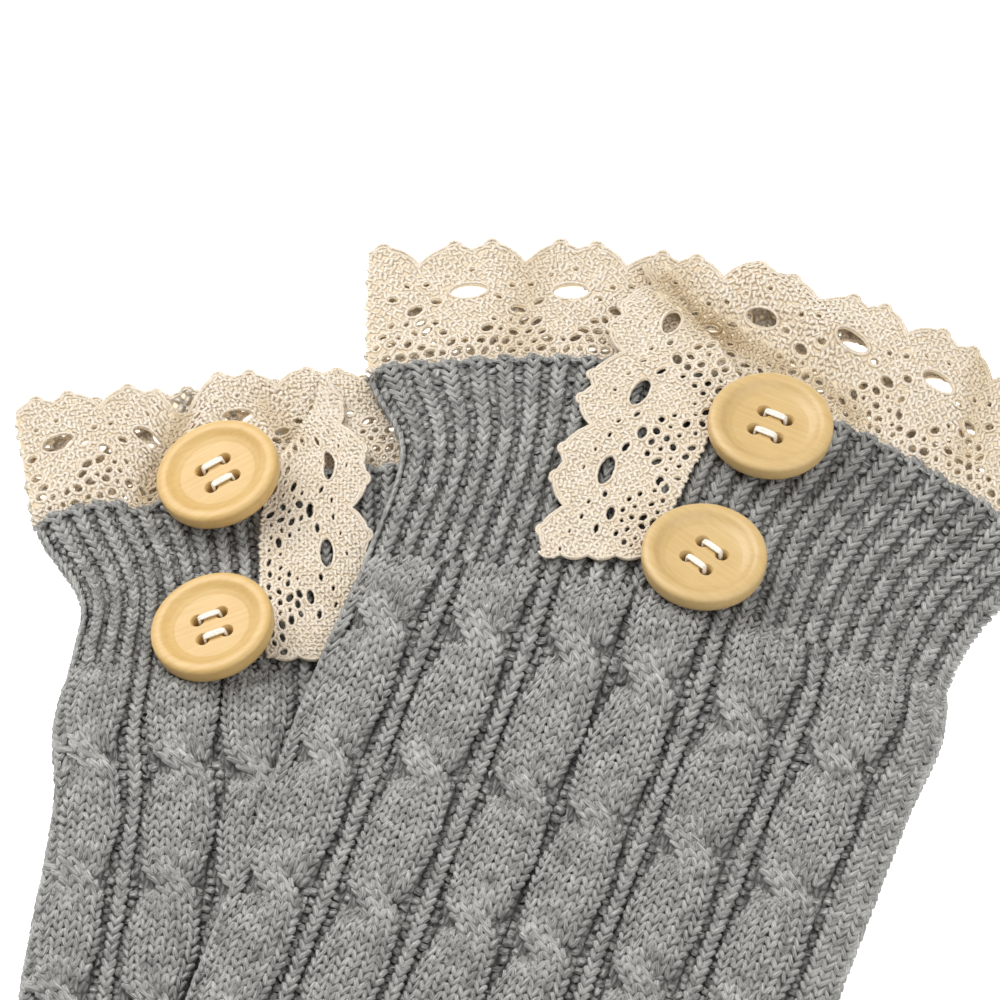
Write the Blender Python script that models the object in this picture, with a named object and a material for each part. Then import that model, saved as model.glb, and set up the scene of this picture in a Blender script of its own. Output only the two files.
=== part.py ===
"""Pair of knitted leg warmers laid flat, the right one partly over the left one.

Each leg warmer is a flattened knitted tube with a ribbed cuff, six cables down its front, a
band of cotton lace round the cuff, a turned-down lace flap and two four-hole buttons. The
cuffs point to +Y. Lengths are written in millimetres and scaled to metres when a mesh is made.
A place on a leg warmer is (u, v): u runs 0 to 1 from its left fold to its right fold, and v is
the distance in millimetres down from the knitted edge, negative in the lace.
"""
import math
from collections import namedtuple

import bmesh
import bpy
from mathutils import Vector
from mathutils.geometry import delaunay_2d_cdt

MM = 0.001
GAP = 0.3

# Plan centre of the pair, which becomes the origin
CENTRE_X = 7.29
CENTRE_Y = -149.48

# Knitted tube
KNIT_END = 372.0
BACK_WALL = 2.0
INNER_GAP = 0.4
FRONT_WALL = 2.4
TUBE_THICK = BACK_WALL + INNER_GAP + FRONT_WALL
FOLD_RADIUS = TUBE_THICK / 2
CUFF_END = 60.0
HEM_START = 335.0
BACK_STATIONS = 13
INNER_STATIONS = 10
PLAIN_ROWS = (0.0, 8.0, 18.0, 28.0, 37.0, 46.0, 56.0, 67.0, 80.0, 100.0, 125.0, 150.0,
              195.0, 240.0, 290.0, HEM_START, KNIT_END)

# Ribs and cables, counted in wales from fold to fold
WALE_COUNT = 52
CABLE_WALES = 6
RIB_RAISE = 1.3
CABLE_RAISE = 2.4
CABLE_OVER = 0.5
CABLE_FADE = 12.0
STRAND_OFFSET = 1.5
STRAND_REACH = 1.9
ROWS_PER_CROSSING = 4

# Lace, measured from its straight edge to the tips of its scallops
LACE_WIDE = 31.0
LACE_THICK = 1.3
LACE_PERIOD = 23.0
SCALLOP_DEEP = 4.5
SCALLOP_TWIN = 4.0
SCALLOP_REACH = 7.5
EYELET_LONG = 7.5
EYELET_SHORT = 4.6
EYELET_IN = 18.5
EYELET_CLEAR = 5.0
EYELET_SIDES = 8
LACE_SETTLE = 12.0
LACE_LIFT = 0.5
LACE_SEAM = 0.7

# Buttons
BUTTON_WIDE = 28.0
BUTTON_THICK = 5.0
BUTTON_SIDES = 20
HOLE_WIDE = 2.6
HOLE_PITCH = 5.6
HOLE_SIDES = 6

# How the upper leg warmer comes down from the lower one
KNIT_STACK = TUBE_THICK + RIB_RAISE + LACE_THICK + 2 * GAP + 0.1
LACE_STACK = 2 * LACE_THICK + INNER_GAP + GAP + 0.5
KNIT_RAMP = 62.0
LACE_RAMP = 40.0

# One row for each cross-section: its plan points at the left fold, the middle and the right fold
Section = namedtuple("Section", "v left_x left_y mid_x mid_y right_x right_y")
LEFT_SECTIONS = (
    Section(-31, -108.0, 23.6, -37.8, 33.2, 28.4, 30.4),
    Section(0, -102.7, -9.5, -36.0, 4.9, 31.1, 3.8),
    Section(28, -92.4, -30.1, -35.1, -22.2, 32.9, -23.9),
    Section(55, -93.8, -46.4, -34.9, -48.4, 33.8, -52.6),
    Section(80, -98.2, -66.7, -34.4, -72.9, 34.4, -76.6),
    Section(100, -97.8, -86.5, -34.4, -92.7, 34.2, -97.2),
    Section(150, -104.7, -136.7, -38.9, -143.4, 29.3, -148.5),
    Section(335, -124.9, -317.7, -58.7, -327.6, 9.3, -332.4),
    Section(372, -124.4, -355.8, -63.1, -362.1, -0.9, -369.0),
)
RIGHT_SECTIONS = (
    Section(-31, -29.3, 67.2, 62.9, 60.3, 139.6, 12.0),
    Section(0, -28.9, 28.4, 53.8, 26.3, 122.7, -19.4),
    Section(28, -21.3, 5.3, 42.7, -3.6, 107.8, -38.0),
    Section(55, -27.8, -21.0, 35.1, -30.9, 99.6, -55.5),
    Section(80, -36.2, -44.9, 29.3, -55.7, 96.9, -71.8),
    Section(100, -42.7, -63.8, 22.9, -76.8, 90.7, -88.2),
    Section(150, -56.4, -109.2, 8.9, -122.6, 76.7, -133.9),
    Section(335, -111.3, -287.5, -46.2, -302.4, 21.6, -316.5),
    Section(372, -116.7, -321.9, -57.1, -336.7, 4.9, -349.6),
)

# Folds that pull the cuff's edge down: where they cross the lace's and the knit's edge
Fold = namedtuple("Fold", "lace_u knit_u half_width lace_dip knit_dip fade")
LEFT_FOLDS = (Fold(0.26, 0.175, 0.035, 6.0, 3.5, 22.0),)
RIGHT_FOLDS = ()

# One row for each button: plan place of its top face's middle, how far it leans to the right in
# degrees, and how far its rows of holes are turned
ButtonPlace = namedtuple("ButtonPlace", "name x y lean turn")
LEFT_BUTTONS = (
    ButtonPlace("left_button_top", -63.1, -2.6, -16.0, 24.0),
    ButtonPlace("left_button_bottom", -64.2, -45.5, -16.0, 13.0),
)
RIGHT_BUTTONS = (
    ButtonPlace("right_button_top", 60.2, 8.2, 4.0, -24.0),
    ButtonPlace("right_button_bottom", 45.3, -30.3, 3.0, -40.0),
)

# The turned-down flap: u of its straight edge at the cuff's edge, halfway and at its end, the side
# of its scallops, its width at its corner, halfway and at its end, its first eyelet, its repeat
# and where its two corners end
Flap = namedtuple("Flap", "top_u mid_u end_u side wides eyelet_v period end_v outer_end_v")
LEFT_FLAP = Flap(0.39, 0.352, 0.37, 1, (13.5, 24.2, 25.0), 1.0, 25.5, 58.0, 58.0)
RIGHT_FLAP = Flap(0.495, 0.497, 0.478, -1, (31.0, 32.5, 26.0), 11.0, 22.0, 54.0, 58.5)

# The lace band: repeats from fold to fold, and the first eyelet of its front and back in repeats
Band = namedtuple("Band", "repeats front_eyelet back_eyelet")
LEFT_BAND = Band(7, 0.40, 0.70)
RIGHT_BAND = Band(8, 0.95, 0.97)

# The cables: first wale of each, the first crossing's v, the pitch and how it drifts to the right
Cables = namedtuple("Cables", "starts first_v pitch drift drift_from")
LEFT_CABLES = Cables((-1, 8, 15, 24, 33, 42, 51), 90.0, 33.0, 0.0, 0.0)
RIGHT_CABLES = Cables((0, 9, 18, 25, 34, 43), 79.0, 39.5, 31.0, 0.35)

Garment = namedtuple("Garment", "name sections folds buttons flap band cables")
LEFT = Garment("left", LEFT_SECTIONS, LEFT_FOLDS, LEFT_BUTTONS, LEFT_FLAP, LEFT_BAND, LEFT_CABLES)
RIGHT = Garment("right", RIGHT_SECTIONS, RIGHT_FOLDS, RIGHT_BUTTONS, RIGHT_FLAP, RIGHT_BAND, RIGHT_CABLES)


def smooth(t):
    """0 to 1 with level ends."""
    t = min(max(t, 0.0), 1.0)
    return t * t * (3 - 2 * t)


def through_three(t, first, middle, last):
    """Value at t on the parabola through first at 0, middle at a half and last at 1."""
    return (1 - t) * (1 - 2 * t) * first + 4 * t * (1 - t) * middle + t * (2 * t - 1) * last


def section_at(sections, v):
    """The six plan numbers at v, on a smooth curve through the sections."""
    last = len(sections) - 2
    k = 0
    while k < last and v > sections[k + 1].v:
        k += 1
    near, far = sections[k], sections[k + 1]
    before = sections[max(k - 1, 0)]
    after = sections[min(k + 2, last + 1)]
    span = far.v - near.v
    t = (v - near.v) / span
    values = []
    for b, n, f, a in zip(before[1:], near[1:], far[1:], after[1:]):
        slope_near = (f - b) / (far.v - before.v) * span
        slope_far = (a - n) / (after.v - near.v) * span
        values.append(n + t * (slope_near + t * (3 * (f - n) - 2 * slope_near - slope_far
                      + t * (2 * (n - f) + slope_near + slope_far))))
    return values


def plan(garment, u, v, folded=False):
    """Plan place of (u, v), in millimetres. The folds are in the front layer only."""
    lx, ly, mx, my, rx, ry = section_at(garment.sections, v)
    x = through_three(u, lx, mx, rx)
    y = through_three(u, ly, my, ry)
    for fold in garment.folds if folded else ():
        share = min(max(-v / LACE_WIDE, 0.0), 1.0)
        centre = fold.knit_u + (fold.lace_u - fold.knit_u) * share
        dip = fold.knit_dip + (fold.lace_dip - fold.knit_dip) * share
        dip *= 1 - smooth(v / fold.fade)
        y -= dip * math.exp(-((u - centre) / fold.half_width) ** 2)
    return x, y


def width_at(garment, v):
    """Flat width of the tube at v."""
    lx, ly, mx, my, rx, ry = section_at(garment.sections, v)
    return math.hypot(mx - lx, my - ly) + math.hypot(rx - mx, ry - my)


def edge_x(garment, y):
    """Where the garment's right fold is at plan height y."""
    low, high = garment.sections[0].v, garment.sections[-1].v
    for _ in range(24):
        v = (low + high) / 2
        if plan(garment, 1, v)[1] > y:
            low = v
        else:
            high = v
    return plan(garment, 1, low)[0]


def row_y(garment, x, v):
    """Plan height of the garment's row v at plan place x."""
    low, high = 0.0, 1.0
    for _ in range(20):
        u = (low + high) / 2
        if plan(garment, u, v)[0] < x:
            low = u
        else:
            high = u
    return plan(garment, low, v)[1]


def rest_height(garment, x, y):
    """Height of what lies under the garment: the floor, or the lower leg warmer and its slope."""
    if garment is LEFT:
        return 0.0
    beside = max(x - edge_x(LEFT, y), 0.0)
    beyond_knit = max(y - row_y(LEFT, x, 0.0), 0.0)
    beyond_lace = max(y - row_y(LEFT, x, -LACE_WIDE), 0.0)
    knit = KNIT_STACK * (1 - smooth(math.hypot(beside, beyond_knit) / KNIT_RAMP))
    lace = LACE_STACK * (1 - smooth(math.hypot(beside, beyond_lace) / LACE_RAMP))
    return max(knit, lace)


def strand_height(wale, phase):
    """Height of a cable's two strands at a wale counted from its middle; they cross at phase 0.5."""
    swing = STRAND_OFFSET * math.cos(math.pi * smooth((phase - 0.25) / 0.5))
    crossing = math.sin(math.pi * min(max((phase - 0.2) / 0.6, 0.0), 1.0))
    over = 1 - ((wale + swing) / STRAND_REACH) ** 2
    under = 1 - ((wale - swing) / STRAND_REACH) ** 2
    over_raise = (CABLE_RAISE + CABLE_OVER * crossing) * math.sqrt(max(over, 0.0))
    under_raise = (CABLE_RAISE - CABLE_OVER * crossing) * math.sqrt(max(under, 0.0))
    return max(over_raise, under_raise)


def wale_relief(garment, index, v):
    """How far wale number index stands out of the front at v."""
    if v <= CUFF_END or v >= HEM_START:
        return RIB_RAISE if index % 2 == 0 else 0.0
    cables = garment.cables
    for start in cables.starts:
        if start <= index < start + CABLE_WALES:
            from_middle = index - start - (CABLE_WALES - 1) / 2
            drift = cables.drift * max(index / WALE_COUNT - cables.drift_from, 0.0)
            phase = ((v - cables.first_v - drift) / cables.pitch + 0.5) % 1.0
            fade = smooth((v - CUFF_END) / CABLE_FADE) * smooth((HEM_START - v) / CABLE_FADE)
            return strand_height(from_middle, phase) * fade
        if index in (start - 1, start + CABLE_WALES):
            return 0.0
    return RIB_RAISE


def front_top(garment, x, y):
    """Height of the knitted front's rib tops at a plan place."""
    return rest_height(garment, x, y) + TUBE_THICK + RIB_RAISE


def zip_strip(mesh, first, second):
    """Triangles between two rows of points whose counts differ."""
    i = j = 0
    while i < len(first) - 1 or j < len(second) - 1:
        next_first = (i + 1) / (len(first) - 1)
        next_second = (j + 1) / (len(second) - 1)
        if j == len(second) - 1 or (i < len(first) - 1 and next_first <= next_second):
            mesh.faces.new((first[i], first[i + 1], second[j]))
            i += 1
        else:
            mesh.faces.new((first[i], second[j + 1], second[j]))
            j += 1


def grid_faces(mesh, rows):
    """Triangles over rows of points, whose counts may differ."""
    for upper, lower in zip(rows, rows[1:]):
        zip_strip(mesh, upper, lower)


def add_object(name, mesh, material):
    """Link a finished mesh in metres as an object."""
    data = bpy.data.meshes.new(name)
    mesh.to_mesh(data)
    mesh.free()
    data.shade_smooth()
    data.materials.append(material)
    obj = bpy.data.objects.new(name, data)
    bpy.context.collection.objects.link(obj)
    return obj


def finish_mesh(name, mesh, material):
    """Make the named object from a mesh in millimetres about the photographed middle."""
    bmesh.ops.recalc_face_normals(mesh, faces=mesh.faces[:])
    for vert in mesh.verts:
        vert.co = Vector((vert.co.x - CENTRE_X, vert.co.y - CENTRE_Y, vert.co.z)) * MM
    return add_object(name, mesh, material)


def make_material(name, colour, roughness):
    """A Principled material with one sRGB colour."""
    material = bpy.data.materials.new(name)
    material.use_nodes = True
    shader = material.node_tree.nodes["Principled BSDF"]
    linear = [c / 12.92 if c <= 0.04045 else ((c + 0.055) / 1.055) ** 2.4 for c in colour]
    shader.inputs["Base Color"].default_value = (*linear, 1)
    shader.inputs["Roughness"].default_value = roughness
    shader.inputs["Metallic"].default_value = 0.0
    return material


def tube_point(garment, u, v, angle, radius, height):
    """Point on a fold's round side, angle up from level, about the middle height."""
    inset = FOLD_RADIUS / width_at(garment, v)
    x, y = plan(garment, abs(u - inset), v)
    near_x, near_y = plan(garment, abs(u - 2 * inset), v)
    out = Vector((x - near_x, y - near_y)).normalized()
    reach = radius * math.cos(angle)
    rest = rest_height(garment, x, y)
    return Vector((x + out.x * reach, y + out.y * reach, rest + height + radius * math.sin(angle)))


def front_row(garment, v):
    """Outer points of the front at v, from level on the left fold to level on the right."""
    row = [tube_point(garment, 0, v, math.radians(a), FOLD_RADIUS, FOLD_RADIUS) for a in (0, 45)]
    inset = FOLD_RADIUS / width_at(garment, v)
    for index in range(WALE_COUNT):
        u = inset + (1 - 2 * inset) * (index + 0.5) / WALE_COUNT
        x, y = plan(garment, u, v, True)
        height = rest_height(garment, x, y) + TUBE_THICK + wale_relief(garment, index, v)
        row.append(Vector((x, y, height)))
    row += [tube_point(garment, 1, v, math.radians(a), FOLD_RADIUS, FOLD_RADIUS) for a in (45, 0)]
    return row


def back_row(garment, v):
    """Outer points of the back at v, from low on the left fold to low on the right."""
    down = math.radians(-45)
    row = [tube_point(garment, 0, v, down, FOLD_RADIUS, FOLD_RADIUS)]
    inset = FOLD_RADIUS / width_at(garment, v)
    for k in range(BACK_STATIONS):
        x, y = plan(garment, inset + (1 - 2 * inset) * k / (BACK_STATIONS - 1), v)
        row.append(Vector((x, y, rest_height(garment, x, y))))
    row.append(tube_point(garment, 1, v, down, FOLD_RADIUS, FOLD_RADIUS))
    return row


def inner_row(garment, v, count, height, folded):
    """Inner points of one wall at v, between the two folds."""
    inset = FOLD_RADIUS / width_at(garment, v)
    row = []
    for k in range(1, count):
        x, y = plan(garment, inset + (1 - 2 * inset) * k / count, v, folded)
        row.append(Vector((x, y, rest_height(garment, x, y) + height)))
    return row


def front_rows(garment):
    """Values of v for the front's fine rows."""
    body = HEM_START - CUFF_END
    count = round(body / garment.cables.pitch * ROWS_PER_CROSSING)
    rows = [CUFF_END * k / 5 for k in range(6)]
    rows += [CUFF_END + body * k / count for k in range(1, count + 1)]
    return rows + [KNIT_END]


def build_tube(garment, material):
    """The knitted tube as one closed wall, plain inside and on the back."""
    mesh = bmesh.new()
    front = [[mesh.verts.new(p) for p in front_row(garment, v)] for v in front_rows(garment)]
    back = [[mesh.verts.new(p) for p in back_row(garment, v)] for v in PLAIN_ROWS]
    grid_faces(mesh, front)
    grid_faces(mesh, back)
    for side in (0, -1):
        zip_strip(mesh, [row[side] for row in front], [row[side] for row in back])

    mid_gap = BACK_WALL + INNER_GAP / 2
    inner = []
    for v in PLAIN_ROWS:
        left = tube_point(garment, 0, v, 0.0, INNER_GAP / 2, mid_gap)
        right = tube_point(garment, 1, v, 0.0, INNER_GAP / 2, mid_gap)
        over_count = WALE_COUNT if v in (0.0, KNIT_END) else INNER_STATIONS
        over = inner_row(garment, v, over_count, BACK_WALL + INNER_GAP, True)
        under = inner_row(garment, v, INNER_STATIONS, BACK_WALL, False)
        left, right = mesh.verts.new(left), mesh.verts.new(right)
        over = [left] + [mesh.verts.new(p) for p in over] + [right]
        under = [left] + [mesh.verts.new(p) for p in under] + [right]
        inner.append((over, under))
    grid_faces(mesh, [pair[0] for pair in inner])
    grid_faces(mesh, [pair[1] for pair in inner])
    for end in (0, -1):
        zip_strip(mesh, front[end], inner[end][0])
        outer_back = [front[end][0]] + back[end] + [front[end][-1]]
        zip_strip(mesh, outer_back, inner[end][1])
    return finish_mesh(garment.name + "_leg_tube", mesh, material)


def scallop(along):
    """Lace width at a distance from the middle of a repeat: two rounded tips side by side."""
    along = (along + LACE_PERIOD / 2) % LACE_PERIOD - LACE_PERIOD / 2
    bump = max(1 - ((abs(along) - SCALLOP_TWIN) / SCALLOP_REACH) ** 2, 0.0)
    return LACE_WIDE - SCALLOP_DEEP * (1 - bump)


def lace_layout(middles, header_step, start, end):
    """Flat lace as points and triangles: an eyelet at each middle, straight cuts at both ends.

    start and end give where the ends are at a distance across from the straight edge.
    """
    length = end(LACE_WIDE) - start(LACE_WIDE)
    steps = max(round(length / (LACE_PERIOD / 8)), 4)
    tips = []
    for k in range(steps + 1):
        along = start(LACE_WIDE) + length * k / steps
        tips.append((along, scallop(along - middles[0])))
    header_count = round((end(0) - start(0)) / header_step)
    header = [(start(0) + (end(0) - start(0)) * k / header_count, 0.0) for k in range(header_count + 1)]
    points = header + tips[::-1]
    edges = [(k, (k + 1) % len(points)) for k in range(len(points))]
    eyelets = [m for m in middles if start(EYELET_IN) + EYELET_CLEAR < m < end(EYELET_IN) - EYELET_CLEAR]
    for middle in eyelets:
        first = len(points)
        for k in range(EYELET_SIDES):
            angle = 2 * math.pi * (k + 0.5) / EYELET_SIDES
            points.append((middle + EYELET_LONG / 2 * math.cos(angle),
                           EYELET_IN + EYELET_SHORT / 2 * math.sin(angle)))
            edges.append((first + k, first + (k + 1) % EYELET_SIDES))
    for across in (7.0, 13.0):
        count = round((end(across) - start(across)) / (LACE_PERIOD / 2))
        span = (end(across) - start(across)) / count
        points += [(start(across) + span * k, across) for k in range(1, count)]
    verts, _, faces, _, _, _ = delaunay_2d_cdt([Vector(p) for p in points], edges, [], 1, 1e-4)
    kept = []
    for face in faces:
        centre = sum((verts[i] for i in face), Vector((0, 0))) / len(face)
        reach = min((math.hypot((centre.x - m) / EYELET_LONG, (centre.y - EYELET_IN) / EYELET_SHORT)
                     for m in eyelets), default=1.0)
        if reach > 0.45:
            kept.append(face)
    return verts, kept


def lace_solid(name, layout, place, material):
    """Give a flat lace its thickness where place(along, across) puts its under and upper side."""
    verts, faces = layout
    mesh = bmesh.new()
    lower, upper = [], []
    for vert in verts:
        low, high = place(vert.x, vert.y)
        lower.append(mesh.verts.new(low))
        upper.append(mesh.verts.new(high))
    uses = {}
    for face in faces:
        mesh.faces.new([upper[i] for i in face])
        mesh.faces.new([lower[i] for i in reversed(face)])
        for a, b in zip(face, face[1:] + face[:1]):
            uses.setdefault((min(a, b), max(a, b)), []).append((a, b))
    for border in uses.values():
        if len(border) == 1:
            a, b = border[0]
            mesh.faces.new((upper[b], upper[a], lower[a], lower[b]))
    loose = [v for v in mesh.verts if not v.link_faces]
    bmesh.ops.delete(mesh, geom=loose, context="VERTS")
    return finish_mesh(name, mesh, material)


def band_height(garment, x, y, v, is_front):
    """Underside of a lace band layer: it leaves the knit at mid height and settles on what lies below."""
    lift = LACE_LIFT * (1 - smooth(-v / LACE_SETTLE))
    height = rest_height(garment, x, y) + lift
    if is_front:
        height += LACE_THICK + INNER_GAP
    return height


def build_band(garment, is_front, material):
    """One layer of the lace band above the cuff, from fold to fold."""
    band = garment.band
    length = band.repeats * LACE_PERIOD
    first = band.front_eyelet if is_front else band.back_eyelet
    middles = [LACE_PERIOD * (k + first) for k in range(band.repeats)]

    def place(along, across):
        v = -LACE_SEAM - across
        x, y = plan(garment, along / length, v, is_front)
        low = band_height(garment, x, y, v, is_front)
        return Vector((x, y, low)), Vector((x, y, low + LACE_THICK))

    name = garment.name + ("_lace_front" if is_front else "_lace_back")
    header_step = LACE_PERIOD / (8 if is_front else 2)
    layout = lace_layout(middles, header_step, lambda across: 0.0, lambda across: length)
    return lace_solid(name, layout, place, material)


def flap_root(garment, v):
    """u of the flap's straight edge at v."""
    flap = garment.flap
    t = min(max(v / flap.end_v, 0.0), 1.0)
    return through_three(t, flap.top_u, flap.mid_u, flap.end_u)


def flap_wide(garment, v):
    """Width of the flap at v, from its straight edge to the tips of its scallops."""
    flap = garment.flap
    return through_three((v + LACE_WIDE) / (flap.end_v + LACE_WIDE), *flap.wides)


def build_flap(garment, material):
    """The lace turned down over the front: mitred at its top, scallops away from the buttons."""
    flap = garment.flap
    stretch = flap.period / LACE_PERIOD
    first = (flap.eyelet_v + LACE_WIDE) / stretch
    middles = [first + LACE_PERIOD * k for k in (0, -1, 1, 2)]

    def place(along, across):
        v = along * stretch - LACE_WIDE
        reach = across * flap_wide(garment, v) / LACE_WIDE
        u = flap_root(garment, v) + flap.side * reach / width_at(garment, v)
        x, y = plan(garment, u, v)
        over_lace = band_height(garment, x, y, v, True) + LACE_THICK
        over_knit = front_top(garment, x, y)
        low = GAP + over_lace + (over_knit - over_lace) * smooth((v + 19.0) / 14.0)
        return Vector((x, y, low)), Vector((x, y, low + LACE_THICK))

    def mitre(across):
        return (LACE_WIDE - across) / stretch

    def end(across):
        slant = (flap.outer_end_v - flap.end_v) * across / LACE_WIDE
        return (flap.end_v + LACE_WIDE + slant) / stretch

    layout = lace_layout(middles, LACE_PERIOD / 4, mitre, end)
    return lace_solid(garment.name + "_lace_flap", layout, place, material)


def flap_covers(garment, x, y):
    """Whether the flap lies under a plan place near the buttons."""
    steps = [garment.flap.end_v * k / 20 for k in range(21)]
    roots = [plan(garment, flap_root(garment, v), v) for v in steps]
    root = min(roots, key=lambda place: abs(place[1] - y))
    return garment.flap.side * (x - root[0]) > 0


def button_profile():
    """Radius and height of a button's turned outline, from its middle underneath to its middle on top."""
    radius = BUTTON_WIDE / 2
    return ((0.0, 0.0), (radius - 2.2, 0.0), (radius - 0.4, 1.3), (radius, 2.7), (radius - 0.5, 4.2),
            (radius - 1.8, BUTTON_THICK), (radius - 3.4, BUTTON_THICK - 0.2),
            (radius - 5.0, BUTTON_THICK - 1.4), (0.0, BUTTON_THICK - 1.6))


def turned(mesh, profile, sides, centre=(0.0, 0.0)):
    """Add a closed turned shape, from its middle underneath to its middle on top."""
    rings = []
    for distance, height in profile:
        count = sides if distance else 1
        angles = [2 * math.pi * k / sides for k in range(count)]
        rings.append([mesh.verts.new(((centre[0] + distance * math.cos(a)) * MM,
                                      (centre[1] + distance * math.sin(a)) * MM, height * MM))
                      for a in angles])
    for low, high in zip(rings, rings[1:]):
        for k in range(sides):
            after = (k + 1) % sides
            corners = [low[k % len(low)], low[after % len(low)], high[after % len(high)], high[k % len(high)]]
            mesh.faces.new(list(dict.fromkeys(corners)))
    bmesh.ops.recalc_face_normals(mesh, faces=mesh.faces[:])


def button_rest(garment, spot):
    """Height of the middle of a leaning button's underside, so that its rim just clears the front."""
    lean = math.radians(spot.lean)
    reach = BUTTON_WIDE / 2 - 1.5
    rest = 0.0
    for k in range(24):
        angle = 2 * math.pi * k / 24
        across = reach * math.cos(angle)
        x = spot.x + across * math.cos(lean)
        y = spot.y + reach * math.sin(angle)
        height = front_top(garment, x, y)
        if flap_covers(garment, x, y):
            height += LACE_THICK + GAP
        rest = max(rest, height + across * math.sin(lean))
    return rest + GAP


def build_button(garment, spot, material):
    """A turned button with four thread holes, resting on the front."""
    mesh = bmesh.new()
    turned(mesh, button_profile(), BUTTON_SIDES)
    button = add_object(spot.name, mesh, material)
    mesh = bmesh.new()
    drill = ((0.0, -1.0), (HOLE_WIDE / 2, -1.0), (HOLE_WIDE / 2, BUTTON_THICK), (0.0, BUTTON_THICK))
    for side_x in (-1, 1):
        for side_y in (-1, 1):
            turned(mesh, drill, HOLE_SIDES, (side_x * HOLE_PITCH / 2, side_y * HOLE_PITCH / 2))
    drills = add_object(spot.name + "_drills", mesh, material)
    drills.parent = button
    drills.hide_render = True
    drills.display_type = "WIRE"
    cut = button.modifiers.new("thread_holes", "BOOLEAN")
    cut.operation = "DIFFERENCE"
    cut.solver = "EXACT"
    cut.object = drills
    lean = math.radians(spot.lean)
    button.rotation_mode = "ZYX"
    button.rotation_euler = (0.0, lean, math.radians(spot.turn))
    button.location = ((spot.x - BUTTON_THICK * math.sin(lean) - CENTRE_X) * MM,
                       (spot.y - CENTRE_Y) * MM, button_rest(garment, spot) * MM)
    return button


def main():
    for obj in list(bpy.data.objects):
        bpy.data.objects.remove(obj, do_unlink=True)
    knit = make_material("grey_melange_knit", (0.55, 0.55, 0.54), 0.95)
    lace = make_material("ecru_cotton_lace", (0.89, 0.84, 0.77), 0.9)
    horn = make_material("honey_button", (0.90, 0.78, 0.57), 0.35)
    for garment in (LEFT, RIGHT):
        build_tube(garment, knit)
        build_band(garment, True, lace)
        build_band(garment, False, lace)
        build_flap(garment, lace)
        for spot in garment.buttons:
            build_button(garment, spot, horn)


main()
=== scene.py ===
"""Looks for a pair of cable-knit leg warmers with lace cuffs, laid flat one partly over the other.

Lengths are in millimetres until a mesh is made. A place on a leg warmer is (wale, v): wales are
counted from the left fold to the right one, and v runs down from the knitted edge, negative in
the lace. u runs from 0 at the left fold to 1 at the right one.
"""
import math
from collections import namedtuple

import bmesh
import bpy
import numpy as np
from bpy.props import FloatProperty, IntProperty, PointerProperty, StringProperty
from mathutils import Matrix, Vector
from mathutils.geometry import delaunay_2d_cdt


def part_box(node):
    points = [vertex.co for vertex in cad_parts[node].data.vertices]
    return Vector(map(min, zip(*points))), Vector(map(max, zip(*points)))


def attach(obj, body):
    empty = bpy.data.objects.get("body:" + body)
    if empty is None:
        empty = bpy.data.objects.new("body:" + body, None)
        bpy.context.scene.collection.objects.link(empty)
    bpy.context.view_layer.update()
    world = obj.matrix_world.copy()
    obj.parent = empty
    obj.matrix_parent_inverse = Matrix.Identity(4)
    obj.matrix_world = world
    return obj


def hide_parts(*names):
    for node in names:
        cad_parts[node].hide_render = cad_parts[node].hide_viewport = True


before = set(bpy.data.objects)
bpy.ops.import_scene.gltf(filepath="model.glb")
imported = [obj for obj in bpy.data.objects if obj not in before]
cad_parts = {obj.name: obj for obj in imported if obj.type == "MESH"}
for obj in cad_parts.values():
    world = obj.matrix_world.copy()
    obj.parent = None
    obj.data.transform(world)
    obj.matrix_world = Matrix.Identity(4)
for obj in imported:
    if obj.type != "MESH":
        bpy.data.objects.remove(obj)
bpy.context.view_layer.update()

bl_info = {
    "name": "Cable-knit leg warmers",
    "version": (1, 0, 0),
    "blender": (4, 5, 0),
    "location": "View3D > Sidebar > Leg warmers",
    "description": "Dresses a pair of knitted leg warmers with yarn, cotton lace and buttons",
    "category": "Object",
}

# A millimetre in metres, and the world's origin, in millimetres from the photographed middle
MM = 0.001
CENTRE = np.array((7.29, -149.48, 0.0))

# The camera looks down at this angle, in degrees, on a frame this wide
CAMERA_TILT = 52.0
FRAME_WIDE = 222.2

# The tube's length, wall and opening, as in the solids, where its cuff ends and its hem starts, and
# its wales
KNIT_END = 372.0
BACK_WALL = 2.0
INNER_GAP = 0.4
TUBE_THICK = 4.8
FOLD_RADIUS = TUBE_THICK / 2
CUFF_END = 60.0
HEM_START = 335.0
WALE_COUNT = 52
CABLE_WALES = 6

# Grid of the tube's wall: rows, columns of its plain faces, columns added round each fold, the v
# that the folds' columns are measured at, and the height of a loop in its material
TUBE_ROWS = 84
PLAIN_COLUMNS = 27
FOLD_COLUMNS = 2
FOLD_COLUMNS_V = 100.0
LOOP_HIGH = 2.4

# Ribs: their height, how steep their sides are, and the share of the height that they have between
# the cables and round the folds
RIB_RAISE = 1.3
RIB_SHARPNESS = 1.2
BODY_RIB = 0.95
FOLD_RIB = 0.4

# The ground under the yarn: how far it lies below the yarn, how much stronger its relief is, the
# share of relief that stays round the folds, and over how many wales the rest fades there
GROUND_DROP = 0.75
GROOVE_DEEP = 0.35
GROUND_RELIEF = 1.15
FOLD_RELIEF = 0.3
FOLD_FADE = 1.5

# Lowest height of yarn round a fold, and the step in u that finds which way is out
LOWEST_YARN = 0.75
PLAN_STEP = 0.005

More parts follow.
